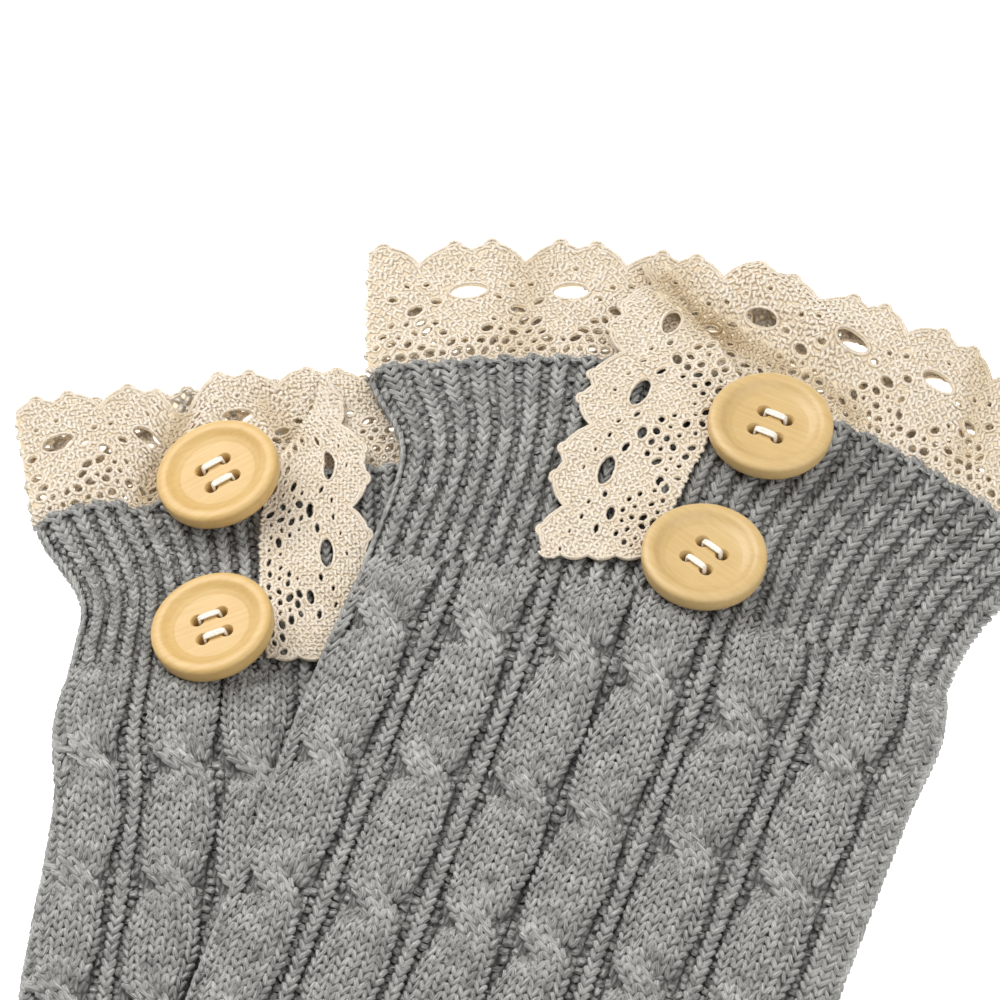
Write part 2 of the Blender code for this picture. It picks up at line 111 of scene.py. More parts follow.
# A cable's two strands. Heights are in millimetres, reaches in wales from a middle, and phases run
# from 0 to 1 between the middles of two long stretches, with the crossing at 0.5
CABLE_RAISE = 4.0  # Height of the crown
CABLE_OVER = 0.2  # What the upper strand adds at a crossing
CABLE_DIVE = 2.6  # How far the lower one dives there
CABLE_FADE = 9.0  # Length over which a cable rises from cuff and hem
CROSSING_CLEAR = 14.0  # Distance of the crossings from cuff and hem
LAST_PHASE = 0.999  # Just under 1, so that the last stretch doesn't start over
STRAND_OFFSET = 1.5  # A strand's middle from the cable's middle
CABLE_REACH = 3.2  # Half width of the whole dome
CROSSING_REACH = 2.3  # Half width of the upper strand's own dome
CROSSING_SPREAD = 0.38  # How much further apart its wales lie at a crossing
STRAND_BULGE = 0.16  # Share by which a cable swells and draws in
STRAND_HALF = 2.1  # Half width of a strand
STRAND_SIDE = 0.5  # Width of its steep side
UNDER_PINCH = 1.3  # How much narrower the lower strand is under the upper one
PINCH_PHASES = 0.18  # Phases over which it widens again
DIVE_LEVEL = 0.04  # Phases on each side of the crossing in which the lower strand is lowest
DIVE_SLOPE = 0.15  # Phases in which it comes up

# Phase where each strand starts to swing across, and over how much of a phase it does so
OVER_SWING = (0.27, 0.46)
UNDER_SWING = (0.4, 0.2)
CROSSING_PHASES = (0.2, 0.6)

# Where the lower strand's stitches are left out under the upper one, in phases and in wales
UNDER_CUT = 0.02
UNDER_ROUND = 0.02
UNDER_HIDE = 1.4

# The lace, as in the solids
LACE_WIDE = 31.0
LACE_THICK = 1.3
LACE_PERIOD = 23.0
SCALLOP_DEEP = 4.5
SCALLOP_TWIN = 4.0
SCALLOP_REACH = 7.5
PICOT_HIGH = 1.1
PICOT_REACH = 1.5
EYELET_IN = 18.5
LACE_SETTLE = 12.0
LACE_LIFT = 0.5
LACE_SEAM = 0.7
GAP = 0.3

# The lace's cloth, how far its threads lie below its solid's top, how far its front layer stands
# off in waves and the length over which it starts to, and how much painted shade darkens the threads in a
# trough 1 mm deep
SHEET_THICK = 0.5
THREAD_SINK = 0.35
LACE_BILLOW = 1.3
BILLOW_START = 9.0
TROUGH_SHADE = 1.1

# How the upper leg warmer comes down from the lower one
KNIT_STACK = TUBE_THICK + RIB_RAISE + LACE_THICK + 2 * GAP + 0.1
LACE_STACK = 2 * LACE_THICK + INNER_GAP + GAP + 0.5
KNIT_RAMP = 62.0
LACE_RAMP = 40.0

# Scales of the patterns that read Object coordinates, in repeats to a metre, from their real sizes:
# melange patches of 4 mm, nap of 0.7 mm (finer would not show), plies of the lace thread of 0.5 mm,
# patches of the cotton of 8 mm, plies of the sewing thread of 0.4 mm and the paper's tooth of 1.1 mm
MELANGE_SCALE = 260.0
NAP_SCALE = 1400.0
COTTON_PLY_SCALE = 1900.0
COTTON_PATCH_SCALE = 120.0
SEWING_PLY_SCALE = 2500.0
PAPER_SCALE = 900.0

# Looks of the yarn: how far one float's streaks are from the next one's, streaks along a float,
# the streaks' share against the melange, the tone, which varies from float to float, and for the
# ground how far the legs of its loops slant and how much its nap shows
STREAK_SHIFT = (37.0, 91.0, 53.0)
STREAKS_ALONG = 1.6
STREAK_SHARE = 0.65
YARN_TONE_SPAN = 0.24
YARN_TONE_LEAST = 0.87
LOOP_SLANT = 1.5
NAP_SHARE = 0.45

# Looks of the cotton: the plies' share against the soft patches, the tone from thread to thread, which
# also carries the painted shade of the troughs, and its powers for red, green and blue, which make a
# darker tone warm, so that the painted shade is brown
PLY_SHARE = 0.6
COTTON_TONE_SPAN = 0.1
COTTON_TONE_LEAST = 0.98
WARM_POWERS = (1.0, 1.3, 1.9)

# Looks of the wood, in repeats to a millimetre: grain 0.7 mm wide and 18 mm long, and patches of 8 mm,
# which count half as much
GRAIN_SCALE = 1.6
GRAIN_STRETCH = (0.035, 0.9, 0.9)
WOOD_PATCH_SCALE = 0.12
WOOD_PATCH_SHARE = 0.5

# A float is a ball that is filled out to FLOAT_FULL and made blunt at its ends
FLOAT_FULL = 1.15
FLOAT_BLUNT = 1.9

# Where in its row a stitch or a purl bump is
LEG_ROW_START = 0.8
PURL_ROW_START = 0.5

# A V stitch's leg: how its foot and head spread in wales, the step in wales that finds which way is
# across, its overlap with the next one, how far it sinks into the ground as a share of its thickness,
# its reach in rows, how much wider it is on the body and at crossings, and its unevenness
FOOT_SPREAD = 0.05
ACROSS_STEP = 0.15
LEG_OVERLAP = 1.36
LEG_SINK = 0.45
RIB_LEG_REACH = 0.6
CUFF_LEG_SPREAD = 0.54
BODY_LEG_SPREAD = 0.6
BODY_LEG_WIDER = 1.1
CABLE_LEG_REACH = 0.52
CABLE_LEG_SPREAD = 0.42
CROSSING_LEG_WIDER = 0.25
LEG_WIDE_JITTER = 0.05
LEG_PLACE_JITTER = 0.07
LEG_AIM_JITTER = 0.045

# Wales of ribs round each fold, how far past the folds a cable's legs and the edge cords go, and
# the height to which a cable fades in the cuff, as a share of a rib's
FOLD_RIBS = 2
CABLE_PAST = 0.2
EDGE_PAST = 1.2
FADED_CABLE = 0.8

# The edge cords: step of their plies in wales, how far they lie in from the edge, how they sway with
# the ribs and unevenly, their share of the relief and how far they lie below it, how far the second
# ply is shifted and lifted, and how far a ply points ahead, in wales, and round the cord
EDGE_STEP = 0.5
EDGE_IN = 0.6
EDGE_SWAY = 0.35
EDGE_UNEVEN = 0.3
EDGE_RELIEF = 0.7
EDGE_DROP = 0.3
EDGE_PLY_SHIFT = 0.6
EDGE_PLY_LIFT = 0.35
EDGE_AHEAD = 0.3
EDGE_TWIST = 0.28

# Sizes of one ply of the edge cords, and its unevenness
EDGE_PLY_LONG = (1.9, 2.5)
EDGE_PLY_WIDE = (0.9, 1.2)
EDGE_PLY_THICK = 1.1
EDGE_PLACE_JITTER = 0.12
EDGE_AIM_JITTER = 0.16

# Purl bumps: how deep they are, how far each sinks, where they fill a cable's sides, in phases, how
# much longer than a wale they are, and their width, height and unevenness
PURL_DEEP = 0.25
PURL_SINK = 0.55
PURL_CROSSING_PHASES = 0.12
PURL_LONGER = (0.9, 1.25)
PURL_WIDE = (2.1, 3.1)
PURL_THICK = 1.0
PURL_PLACE_JITTER = 0.2
PURL_AIM_JITTER = 0.4

# Loose hairs, thicker than real ones so that they show: how far they swing aside and lift, their roll,
# how far beside their leg they start, and by how much of their length they are shifted along
HAIR_LONG = (1.2, 3.2)
HAIR_THICK = (0.11, 0.18)
HAIR_SWING = 0.6
HAIR_LIFT = (0.05, 0.2)
HAIR_ROLL = 0.5
HAIR_ASIDE = 0.45
HAIR_SHIFT = (-0.2, 0.35)

# One row for each cross-section: v, then plan points at the left fold, the middle and the right fold
LEFT_SECTIONS = np.array((
    (-31, -108.0, 23.6, -37.8, 33.2, 28.4, 30.4),
    (0, -102.7, -9.5, -36.0, 4.9, 31.1, 3.8),
    (28, -92.4, -30.1, -35.1, -22.2, 32.9, -23.9),
    (55, -93.8, -46.4, -34.9, -48.4, 33.8, -52.6),
    (80, -98.2, -66.7, -34.4, -72.9, 34.4, -76.6),
    (100, -97.8, -86.5, -34.4, -92.7, 34.2, -97.2),
    (150, -104.7, -136.7, -38.9, -143.4, 29.3, -148.5),
    (335, -124.9, -317.7, -58.7, -327.6, 9.3, -332.4),
    (372, -124.4, -355.8, -63.1, -362.1, -0.9, -369.0),
))
RIGHT_SECTIONS = np.array((
    (-31, -29.3, 67.2, 62.9, 60.3, 139.6, 12.0),
    (0, -28.9, 28.4, 53.8, 26.3, 122.7, -19.4),
    (28, -21.3, 5.3, 42.7, -3.6, 107.8, -38.0),
    (55, -27.8, -21.0, 35.1, -30.9, 99.6, -55.5),
    (80, -36.2, -44.9, 29.3, -55.7, 96.9, -71.8),
    (100, -42.7, -63.8, 22.9, -76.8, 90.7, -88.2),
    (150, -56.4, -109.2, 8.9, -122.6, 76.7, -133.9),
    (335, -111.3, -287.5, -46.2, -302.4, 21.6, -316.5),
    (372, -116.7, -321.9, -57.1, -336.7, 4.9, -349.6),
))

# A soft fold of the front: its u at the lace's edge and the knit's, its half width in u, how far it
# pulls both edges down, and the v over which that fades
Fold = namedtuple("Fold", "lace_u knit_u half_width lace_dip knit_dip fade")
LEFT_FOLDS = (Fold(0.26, 0.175, 0.035, 6.0, 3.5, 22.0),)

# A turned-down flap: u of its straight edge at the top, middle and end, the side it points to, its
# widths there, the v of an eyelet, its repeat, and the v of its end at both edges
Flap = namedtuple("Flap", "top_u mid_u end_u side wides eyelet_v period end_v outer_end_v")
LEFT_FLAP = Flap(0.39, 0.352, 0.37, 1, (13.5, 24.2, 25.0), 1.0, 25.5, 58.0, 58.0)
RIGHT_FLAP = Flap(0.495, 0.497, 0.478, -1, (31.0, 32.5, 26.0), 11.0, 22.0, 54.0, 58.5)

# One row for each crease of the front: plan places of its ends, its height (a trough's is negative)
# and its half width
Crease = namedtuple("Crease", "start_x start_y end_x end_y height half_width")
LEFT_CREASES = (
    Crease(-70.7, 20.0, -78.5, -4.0, -2.6, 3.6),
    Crease(-89.0, 27.0, -91.0, -2.0, 1.5, 8.0),
    Crease(-62.0, 28.0, -66.0, 12.0, 1.3, 5.0),
    Crease(-52.9, 25.5, -46.5, 14.0, -1.9, 2.8),
    Crease(-46.0, 29.0, -35.0, 27.0, 1.7, 4.5),
    Crease(-10.0, 30.0, -14.0, 8.0, 1.2, 6.0),
    Crease(-112.0, -170.0, -78.0, -182.0, 1.3, 9.0),
    Crease(-96.0, -235.0, -44.0, -228.0, 1.0, 11.0),
    Crease(-70.0, -300.0, -20.0, -318.0, 1.4, 9.0),
)
RIGHT_CREASES = (
    Crease(38.2, 57.0, 46.5, 45.0, -3.2, 5.2),
    Crease(49.5, 44.5, 62.2, 34.0, -2.6, 4.6),
    Crease(71.5, 29.5, 78.5, 21.0, -2.4, 3.8),
    Crease(58.0, 57.0, 74.0, 43.0, 4.2, 5.2),
    Crease(92.0, 44.0, 96.0, 22.0, 1.5, 6.0),
    Crease(108.0, 36.0, 104.0, 12.0, -1.6, 4.0),
    Crease(-22.0, 64.0, -24.0, 34.0, 1.2, 5.0),
    Crease(8.0, 64.0, 4.0, 38.0, -1.2, 5.0),
    Crease(92.0, -60.0, 74.0, -74.0, 1.5, 8.0),
    Crease(-50.0, -170.0, 0.0, -190.0, 1.2, 11.0),
    Crease(-10.0, -240.0, 40.0, -232.0, 1.5, 9.0),
    Crease(-96.0, -270.0, -60.0, -282.0, 1.1, 8.0),
)

# A lace band: repeats in one layer, where each layer's first eyelet is, in repeats, and which eyelets
# of the back are closed. Cables: the first wale of each, v of a crossing, pitch of the crossings, how
# much lower they get towards the right fold, and the u from which on they do
Band = namedtuple("Band", "repeats front_eyelet back_eyelet closed")
Cables = namedtuple("Cables", "starts first_v pitch drift drift_from")
Garment = namedtuple("Garment", "name sections folds flap band cables creases seed")
LEFT = Garment("left", LEFT_SECTIONS, LEFT_FOLDS, LEFT_FLAP, Band(7, 0.40, 0.70, ()),
               Cables((-1, 8, 15, 24, 33, 42, 51), 90.0, 33.0, 0.0, 0.0), LEFT_CREASES, 11)
RIGHT = Garment("right", RIGHT_SECTIONS, (), RIGHT_FLAP, Band(8, 0.95, 0.97, (3, 4)),
                Cables((0, 9, 18, 25, 34, 43), 79.0, 39.5, 31.0, 0.35), RIGHT_CREASES, 23)
GARMENTS = (LEFT, RIGHT)

# One row for each button: its node, plan place of its top face's middle, lean and turn in degrees
Button = namedtuple("Button", "node x y lean turn")
BUTTONS = (
    Button("left_button_top", -63.1, -2.6, -16.0, 24.0),
    Button("left_button_bottom", -64.2, -45.5, -16.0, 13.0),
    Button("right_button_top", 60.2, 8.2, 4.0, -24.0),
    Button("right_button_bottom", 45.3, -30.3, 3.0, -40.0),
)

# A button: radius that it rests on, thickness, height of its recess and distance of its holes, their
# countersink's width, depth and reach past the recess, and how far the drill goes past the wood
BUTTON_BASE_RADIUS = 11.8
BUTTON_THICK = 5.0
RECESS_HEIGHT = 3.4
HOLE_PITCH = 5.6
COUNTERSINK = 0.45
COUNTERSINK_DEEP = 0.5
COUNTERSINK_PAST = 0.1
DRILL_PAST = 1.0

# Facets round a button and a hole, the angle past which an edge is sharp, and points and facets of a
# thread's strand
BUTTON_SIDES = 64
HOLE_SIDES = 24
SHARP_ANGLE = math.radians(40)
STRAND_POINTS = 17
STRAND_SIDES = 6

# A thread stitch: share of the holes' distance that it spans, distance of its strands in radii, how
# far it lies over the recess, its arch, how much higher every other strand lies, where it turns down
# and how steeply, how close its strands are there, and their unevenness
STRAND_SPAN = 0.88
STRAND_PITCH = 1.35
THREAD_CLEAR = 0.35
THREAD_ARCH = 0.25
STRAND_STEP = 0.12
THREAD_TURN = 0.75
THREAD_PLUNGE = 11.0
STRAND_CLOSE = 0.6
STRAND_JITTER = 0.04

# The floor's half width and its drop, which keeps it clear of the knit, in metres, how much it glows,
# and the width of the camera's sensor
FLOOR_HALF = 6.0
FLOOR_DROP = 0.0002
FLOOR_GLOW = 0.75
SENSOR_WIDE = 36.0


def smooth(t):
    """0 to 1 with level ends."""
    t = np.clip(t, 0.0, 1.0)
    return t * t * (3 - 2 * t)


def through_three(t, first, middle, last):
    """Value at t on the parabola through first at 0, middle at a half and last at 1."""
    return (1 - t) * (1 - 2 * t) * first + 4 * t * (1 - t) * middle + t * (2 * t - 1) * last


def sections_at(garment, v):
    """The six plan numbers at each v, on a smooth curve through the sections."""
    table = garment.sections
    last = len(table) - 1
    k = np.clip(np.searchsorted(table[:, 0], v) - 1, 0, last - 1)
    before, near = table[np.maximum(k - 1, 0)], table[k]
    far, after = table[k + 1], table[np.minimum(k + 2, last)]
    span = (far[..., 0] - near[..., 0])[..., None]
    t = (np.asarray(v, float)[..., None] - near[..., :1]) / span
    b, n, f, a = before[..., 1:], near[..., 1:], far[..., 1:], after[..., 1:]
    slope_near = (f - b) / (far[..., :1] - before[..., :1]) * span
    slope_far = (a - n) / (after[..., :1] - near[..., :1]) * span
    values = n + t * (slope_near + t * (3 * (f - n) - 2 * slope_near - slope_far
                      + t * (2 * (n - f) + slope_near + slope_far)))
    return np.moveaxis(values, -1, 0)


def plan(garment, u, v, folded=False):
    """Plan places of (u, v), with u from 0 at the left fold to 1 at the right one."""
    u, v = np.broadcast_arrays(np.asarray(u, float), np.asarray(v, float))
    lx, ly, mx, my, rx, ry = sections_at(garment, v)
    x = through_three(u, lx, mx, rx)
    y = through_three(u, ly, my, ry)
    for fold in garment.folds if folded else ():
        share = np.clip(-v / LACE_WIDE, 0.0, 1.0)
        centre = fold.knit_u + (fold.lace_u - fold.knit_u) * share
        dip = (fold.knit_dip + (fold.lace_dip - fold.knit_dip) * share) * (1 - smooth(v / fold.fade))
        y = y - dip * np.exp(-((u - centre) / fold.half_width) ** 2)
    return x, y


def width_at(garment, v):
    """Flat width of the tube at v."""
    lx, ly, mx, my, rx, ry = sections_at(garment, np.asarray(v, float))
    return np.hypot(mx - lx, my - ly) + np.hypot(rx - mx, ry - my)


EDGE = plan(LEFT, 1.0, np.linspace(KNIT_END, -LACE_WIDE, 800))
KNIT_TOP = plan(LEFT, np.linspace(0, 1, 200), 0.0)
LACE_TOP = plan(LEFT, np.linspace(0, 1, 200), -LACE_WIDE)


def rest_height(garment, x, y):
    """Height of what lies under the garment: the floor, or the lower leg warmer and its slope."""
    if garment is LEFT:
        return np.zeros(np.shape(x))
    beside = np.maximum(x - np.interp(y, EDGE[1], EDGE[0]), 0.0)
    beyond_knit = np.maximum(y - np.interp(x, KNIT_TOP[0], KNIT_TOP[1]), 0.0)
    beyond_lace = np.maximum(y - np.interp(x, LACE_TOP[0], LACE_TOP[1]), 0.0)
    knit = KNIT_STACK * (1 - smooth(np.hypot(beside, beyond_knit) / KNIT_RAMP))
    lace = LACE_STACK * (1 - smooth(np.hypot(beside, beyond_lace) / LACE_RAMP))
    return np.maximum(knit, lace)


def crease_lift(garment, x, y):
    """How far soft ridges lift the front, and troughs lower it, at a plan place."""
    lift = np.zeros(np.shape(x))
    for crease in garment.creases:
        run = np.array((crease.end_x - crease.start_x, crease.end_y - crease.start_y))
        length = np.hypot(*run)
        ahead = ((x - crease.start_x) * run[0] + (y - crease.start_y) * run[1]) / length
        aside = ((x - crease.start_x) * run[1] - (y - crease.start_y) * run[0]) / length
        past = np.maximum(np.maximum(-ahead, ahead - length), 0.0)
        lift = lift + crease.height * np.exp(-(aside ** 2 + 0.5 * past ** 2) / crease.half_width ** 2)
    return lift


def knit_place(garment, wale, v, height):
    """Places on the front at a height above its plain face.

    Wales below 0 or past the last one turn round the folds.
    """
    wale, v = np.broadcast_arrays(np.asarray(wale, float), np.asarray(v, float))
    width = width_at(garment, v)
    inset = FOLD_RADIUS / width
    over = np.clip(wale, 0.0, WALE_COUNT)
    u = inset + (1 - 2 * inset) * over / WALE_COUNT
    x, y = plan(garment, u, v, True)
    ahead_x, ahead_y = plan(garment, u + PLAN_STEP, v)
    behind_x, behind_y = plan(garment, u - PLAN_STEP, v)
    out_x, out_y = ahead_x - behind_x, ahead_y - behind_y
    size = np.hypot(out_x, out_y)
    turn = (wale - over) * (width - TUBE_THICK) / WALE_COUNT / FOLD_RADIUS
    reach = (FOLD_RADIUS + height) * np.sin(turn)
    lift = np.maximum(crease_lift(garment, x, y), 0.0) * smooth(np.cos(turn))
    z = rest_height(garment, x, y) + lift
    z = z + np.maximum(FOLD_RADIUS + (FOLD_RADIUS + height) * np.cos(turn), LOWEST_YARN)
    return np.stack((x + out_x / size * reach, y + out_y / size * reach, z), -1)


def rib_relief(from_middle):
    """Height of a rib at a distance from its middle, in wales."""
    return RIB_RAISE * np.cos(math.pi / 2 * np.clip(np.abs(from_middle), 0.0, 1.0)) ** RIB_SHARPNESS


def side_share(wale):
    """1 on the front, falling to 0 round the folds."""
    return 1 - smooth(np.maximum(-wale, wale - WALE_COUNT) / FOLD_FADE + 0.5)


def flattened(height, wale):
    """A relief's height, less round the folds, which flatten it."""
    return height * (FOLD_RELIEF + (1 - FOLD_RELIEF) * side_share(wale))


def cable_phase(garment, wale, v):
    """How far each place is between one crossing and the next; crossings stay clear of cuff and hem."""
    cables = garment.cables
    start = cables.first_v + cables.drift * np.maximum(wale / WALE_COUNT - cables.drift_from, 0.0)
    first = np.ceil((CUFF_END + CROSSING_CLEAR - start) / cables.pitch)
    last = np.floor((HEM_START - CROSSING_CLEAR - start) / cables.pitch)
    return np.clip((v - start) / cables.pitch + 0.5, first, last + LAST_PHASE) % 1.0


def cable_wide(phase):
    """How much wider than its wales a cable is: it swells between crossings and draws in at them."""
    return 1 + STRAND_BULGE * np.cos(2 * math.pi * phase)


def strand_middle(phase, is_over):
    """Where a strand's middle is, in wales from the cable's middle; the lower one moves while covered."""
    start, span = OVER_SWING if is_over else UNDER_SWING
    swing = STRAND_OFFSET * np.cos(math.pi * smooth((phase - start) / span)) * cable_wide(phase)
    return -swing if is_over else swing


def crossing_share(phase):
    """1 where the strands cross, 0 where they lie side by side."""
    start, span = CROSSING_PHASES
    return np.sin(math.pi * np.clip((phase - start) / span, 0.0, 1.0))


def strand_raise(phase, is_over):
    """Height of a strand's crown: the upper one humps at a crossing, the lower one dives under it."""
    if is_over:
        return CABLE_RAISE + CABLE_OVER * crossing_share(phase)
    return CABLE_RAISE - CABLE_DIVE * (1 - smooth((np.abs(phase - 0.5) - DIVE_LEVEL) / DIVE_SLOPE))


def strand_round(from_strand, phase, is_over):
    """Height of a strand at a distance in wales from its own middle.

    The two strands are one dome, but the upper one has its own at a crossing.
    """
    whole = (strand_middle(phase, is_over) + from_strand) / CABLE_REACH / cable_wide(phase)
    whole = np.sqrt(np.maximum(1 - whole ** 2, 0.0))
    alone = np.sqrt(np.maximum(1 - (from_strand / CROSSING_REACH) ** 2, 0.0))
    share = crossing_share(phase) * is_over
    return strand_raise(phase, is_over) * (whole * (1 - share) + alone * share)


def strand_height(from_middle, phase, is_over):
    """Height of a strand at a distance in wales from the cable's middle, with steep sides."""
    away = from_middle - strand_middle(phase, is_over)
    pinch = 0.0 if is_over else UNDER_PINCH * (1 - smooth(np.abs(phase - 0.5) / PINCH_PHASES))
    side = np.clip((STRAND_HALF - pinch - np.abs(away)) / STRAND_SIDE, 0.0, 1.0)
    return side * strand_round(away, phase, is_over)


def cable_fade(v):
    """0 in the cuff and hem, 1 where the cables are full."""
    return smooth((v - CUFF_END) / CABLE_FADE) * smooth((HEM_START - v) / CABLE_FADE)


def wale_kind(garment, index):
    """What wale number index is between cuff and hem, and the first wale of its cable."""
    for start in garment.cables.starts:
        if start <= index < start + CABLE_WALES:
            return "cable", start
        if index in (start - 1, start + CABLE_WALES):
            return "purl", start
    return "rib", 0


def base_relief(garment, wale, v):
    """Height of the ground under the yarn."""
    even = (wale - 0.5) / 2
    ribs = rib_relief(2 * (even - np.round(even)))
    index = np.floor(wale).astype(int)
    body = np.zeros(wale.shape)
    for number in np.unique(index):
        chosen = index == number
        kind, start = wale_kind(garment, number)
        if kind == "cable":
            middle = start + CABLE_WALES / 2
            phase = cable_phase(garment, middle, v[chosen])
            strands = [strand_height(wale[chosen] - middle, phase, is_over) for is_over in (True, False)]
            body[chosen] = np.maximum(*strands)
        elif kind == "rib":
            body[chosen] = BODY_RIB * rib_relief(wale[chosen] - number - 0.5)
    share = cable_fade(v)
    inside = (v > CUFF_END) & (v < HEM_START)
    return np.where(inside, body * share + ribs * (1 - share), ribs)


def to_metres(places):
    """World places of points in millimetres about the photographed middle."""
    return (np.asarray(places, float) - CENTRE) * MM


def unit(vectors):
    """The vectors at length 1."""
    return vectors / np.maximum(np.linalg.norm(vectors, axis=-1, keepdims=True), 1e-12)


def euler_of(along, up):
    """XYZ turns that bring X onto along and Z as near up as it can be."""
    along = unit(along)
    side = unit(np.cross(up, along))
    top = np.cross(along, side)
    turn_y = np.arcsin(np.clip(-along[:, 2], -1.0, 1.0))
    turn_z = np.arctan2(along[:, 1], along[:, 0])
    return np.stack((np.arctan2(side[:, 2], top[:, 2]), turn_y, turn_z), -1)


def linear(hex_colour):
    """A linear colour from an sRGB hex value."""
    values = [int(hex_colour[k:k + 2], 16) / 255 for k in (1, 3, 5)]
    return tuple(c / 12.92 if c <= 0.04045 else ((c + 0.055) / 1.055) ** 2.4 for c in values) + (1.0,)


def add(tree, kind, inputs=None, **settings):
    """Add a node. Settings are its own properties; inputs are values, or the sockets that feed them."""
    node = tree.nodes.new(kind)
    for name, value in settings.items():
        setattr(node, name, value)
    for name, value in (inputs or {}).items():
        if isinstance(value, bpy.types.NodeSocket):
            tree.links.new(value, node.inputs[name])
        else:
            node.inputs[name].default_value = value
    return node


def new_material(name):
    """An empty material and its tree."""
    material = bpy.data.materials.new(name)
    material.use_nodes = True
    material.node_tree.nodes.clear()
    return material, material.node_tree


def finish_material(tree, inputs):
    """Give a material its shader with these inputs."""
    shader = add(tree, "ShaderNodeBsdfPrincipled", inputs)
    add(tree, "ShaderNodeOutputMaterial", {"Surface": shader.outputs[0]})


def yarn_material(name, dark, pale, fibres_across, bump):
    """Melange yarn, spun of acrylic and wool: soft and matt, with fine broken streaks along each float.

    The streaks are its pale and dark fibres, as coarse as they need to be to show: 8 over a stitch's
    leg 1.4 mm wide.
    """
    material, tree = new_material(name)
    local = add(tree, "ShaderNodeAttribute", attribute_name="fibre")
    shade = add(tree, "ShaderNodeAttribute", attribute_name="shade")
    shift = add(tree, "ShaderNodeVectorMath", {0: shade.outputs["Fac"], 1: STREAK_SHIFT},
                operation="MULTIPLY")
    stretched = add(tree, "ShaderNodeVectorMath",
                    {0: local.outputs["Vector"], 1: (STREAKS_ALONG, fibres_across, fibres_across)},
                    operation="MULTIPLY")
    twist = add(tree, "ShaderNodeVectorMath", {0: stretched.outputs[0], 1: shift.outputs[0]},
                operation="ADD")
    streaks = add(tree, "ShaderNodeTexNoise", {"Vector": twist.outputs[0], "Scale": 1.0, "Detail": 2.0})
    place = add(tree, "ShaderNodeTexCoord")
    cloud = add(tree, "ShaderNodeTexNoise",
                {"Vector": place.outputs["Object"], "Scale": MELANGE_SCALE, "Detail": 3.0})
    mixed = add(tree, "ShaderNodeMath", {0: streaks.outputs["Fac"], 1: STREAK_SHARE},
                operation="MULTIPLY")
    both = add(tree, "ShaderNodeMath",
               {0: cloud.outputs["Fac"], 1: 1 - STREAK_SHARE, 2: mixed.outputs[0]},
               operation="MULTIPLY_ADD")
    ramp = add(tree, "ShaderNodeValToRGB", {"Fac": both.outputs[0]})
    for stop, position, colour in zip(ramp.color_ramp.elements, (0.37, 0.61), (dark, pale)):
        stop.position, stop.color = position, linear(colour)
    tone = add(tree, "ShaderNodeMath", {0: shade.outputs["Fac"], 1: YARN_TONE_SPAN, 2: YARN_TONE_LEAST},
               operation="MULTIPLY_ADD")
    toned = add(tree, "ShaderNodeVectorMath", {0: ramp.outputs["Color"], "Scale": tone.outputs[0]},
                operation="SCALE")
    relief = add(tree, "ShaderNodeBump",
                 {"Height": streaks.outputs["Fac"], "Strength": bump, "Distance": 0.5 * MM})
    finish_material(tree, {"Base Color": toned.outputs[0], "Roughness": 0.95, "Specular IOR Level": 0.2,
                           "Normal": relief.outputs["Normal"], "Sheen Weight": 0.25,
                           "Sheen Roughness": 0.5})
    return material


def knit_ground_material(name, dark, pale):
    """Acrylic and wool knit from behind or between the ribs: rows of small V stitches, matt and soft."""
    material, tree = new_material(name)
    loops = add(tree, "ShaderNodeUVMap", uv_map="Loops")
    parts = add(tree, "ShaderNodeSeparateXYZ", {0: loops.outputs[0]})
    wale = add(tree, "ShaderNodeMath", {0: parts.outputs["X"]}, operation="FRACT")
    half = add(tree, "ShaderNodeMath", {0: wale.outputs[0], 1: 0.5}, operation="SUBTRACT")
    away = add(tree, "ShaderNodeMath", {0: half.outputs[0]}, operation="ABSOLUTE")
    slant = add(tree, "ShaderNodeMath", {0: away.outputs[0], 1: LOOP_SLANT, 2: parts.outputs["Y"]},
                operation="MULTIPLY_ADD")
    row = add(tree, "ShaderNodeMath", {0: slant.outputs[0], 1: 1.0}, operation="PINGPONG")
    leg = add(tree, "ShaderNodeMath", {0: row.outputs[0], 1: math.pi}, operation="MULTIPLY")
    crest = add(tree, "ShaderNodeMath", {0: leg.outputs[0]}, operation="SINE")
    rim = add(tree, "ShaderNodeMath", {0: away.outputs[0], 1: 2 * math.pi}, operation="MULTIPLY")
    side = add(tree, "ShaderNodeMath", {0: rim.outputs[0]}, operation="SINE")
    loop = add(tree, "ShaderNodeMath", {0: crest.outputs[0], 1: side.outputs[0]}, operation="MULTIPLY")
    place = add(tree, "ShaderNodeTexCoord")
    nap = add(tree, "ShaderNodeTexNoise",
              {"Vector": place.outputs["Object"], "Scale": NAP_SCALE, "Detail": 3.0})
    height = add(tree, "ShaderNodeMath", {0: nap.outputs["Fac"], 1: NAP_SHARE, 2: loop.outputs[0]},
                 operation="MULTIPLY_ADD")
    # Colour follows the height: the nap's melange, and painted shade that darkens the low gaps between the
    # loops
    ramp = add(tree, "ShaderNodeValToRGB", {"Fac": height.outputs[0]})
    for stop, position, colour in zip(ramp.color_ramp.elements, (0.1, 1.0), (dark, pale)):
        stop.position, stop.color = position, linear(colour)
    relief = add(tree, "ShaderNodeBump",
                 {"Height": height.outputs[0], "Strength": 0.8, "Distance": 0.7 * MM})
    finish_material(tree, {"Base Color": ramp.outputs["Color"], "Roughness": 0.95,
                           "Specular IOR Level": 0.2, "Normal": relief.outputs["Normal"],
                           "Sheen Weight": 0.2})
    return material


def link_object(name, mesh, materials=()):
    """Put a finished mesh in the scene under its name."""
    for material in materials:
        mesh.materials.append(material)
    piece = bpy.data.objects.new(name, mesh)
    bpy.context.scene.collection.objects.link(piece)
    return piece


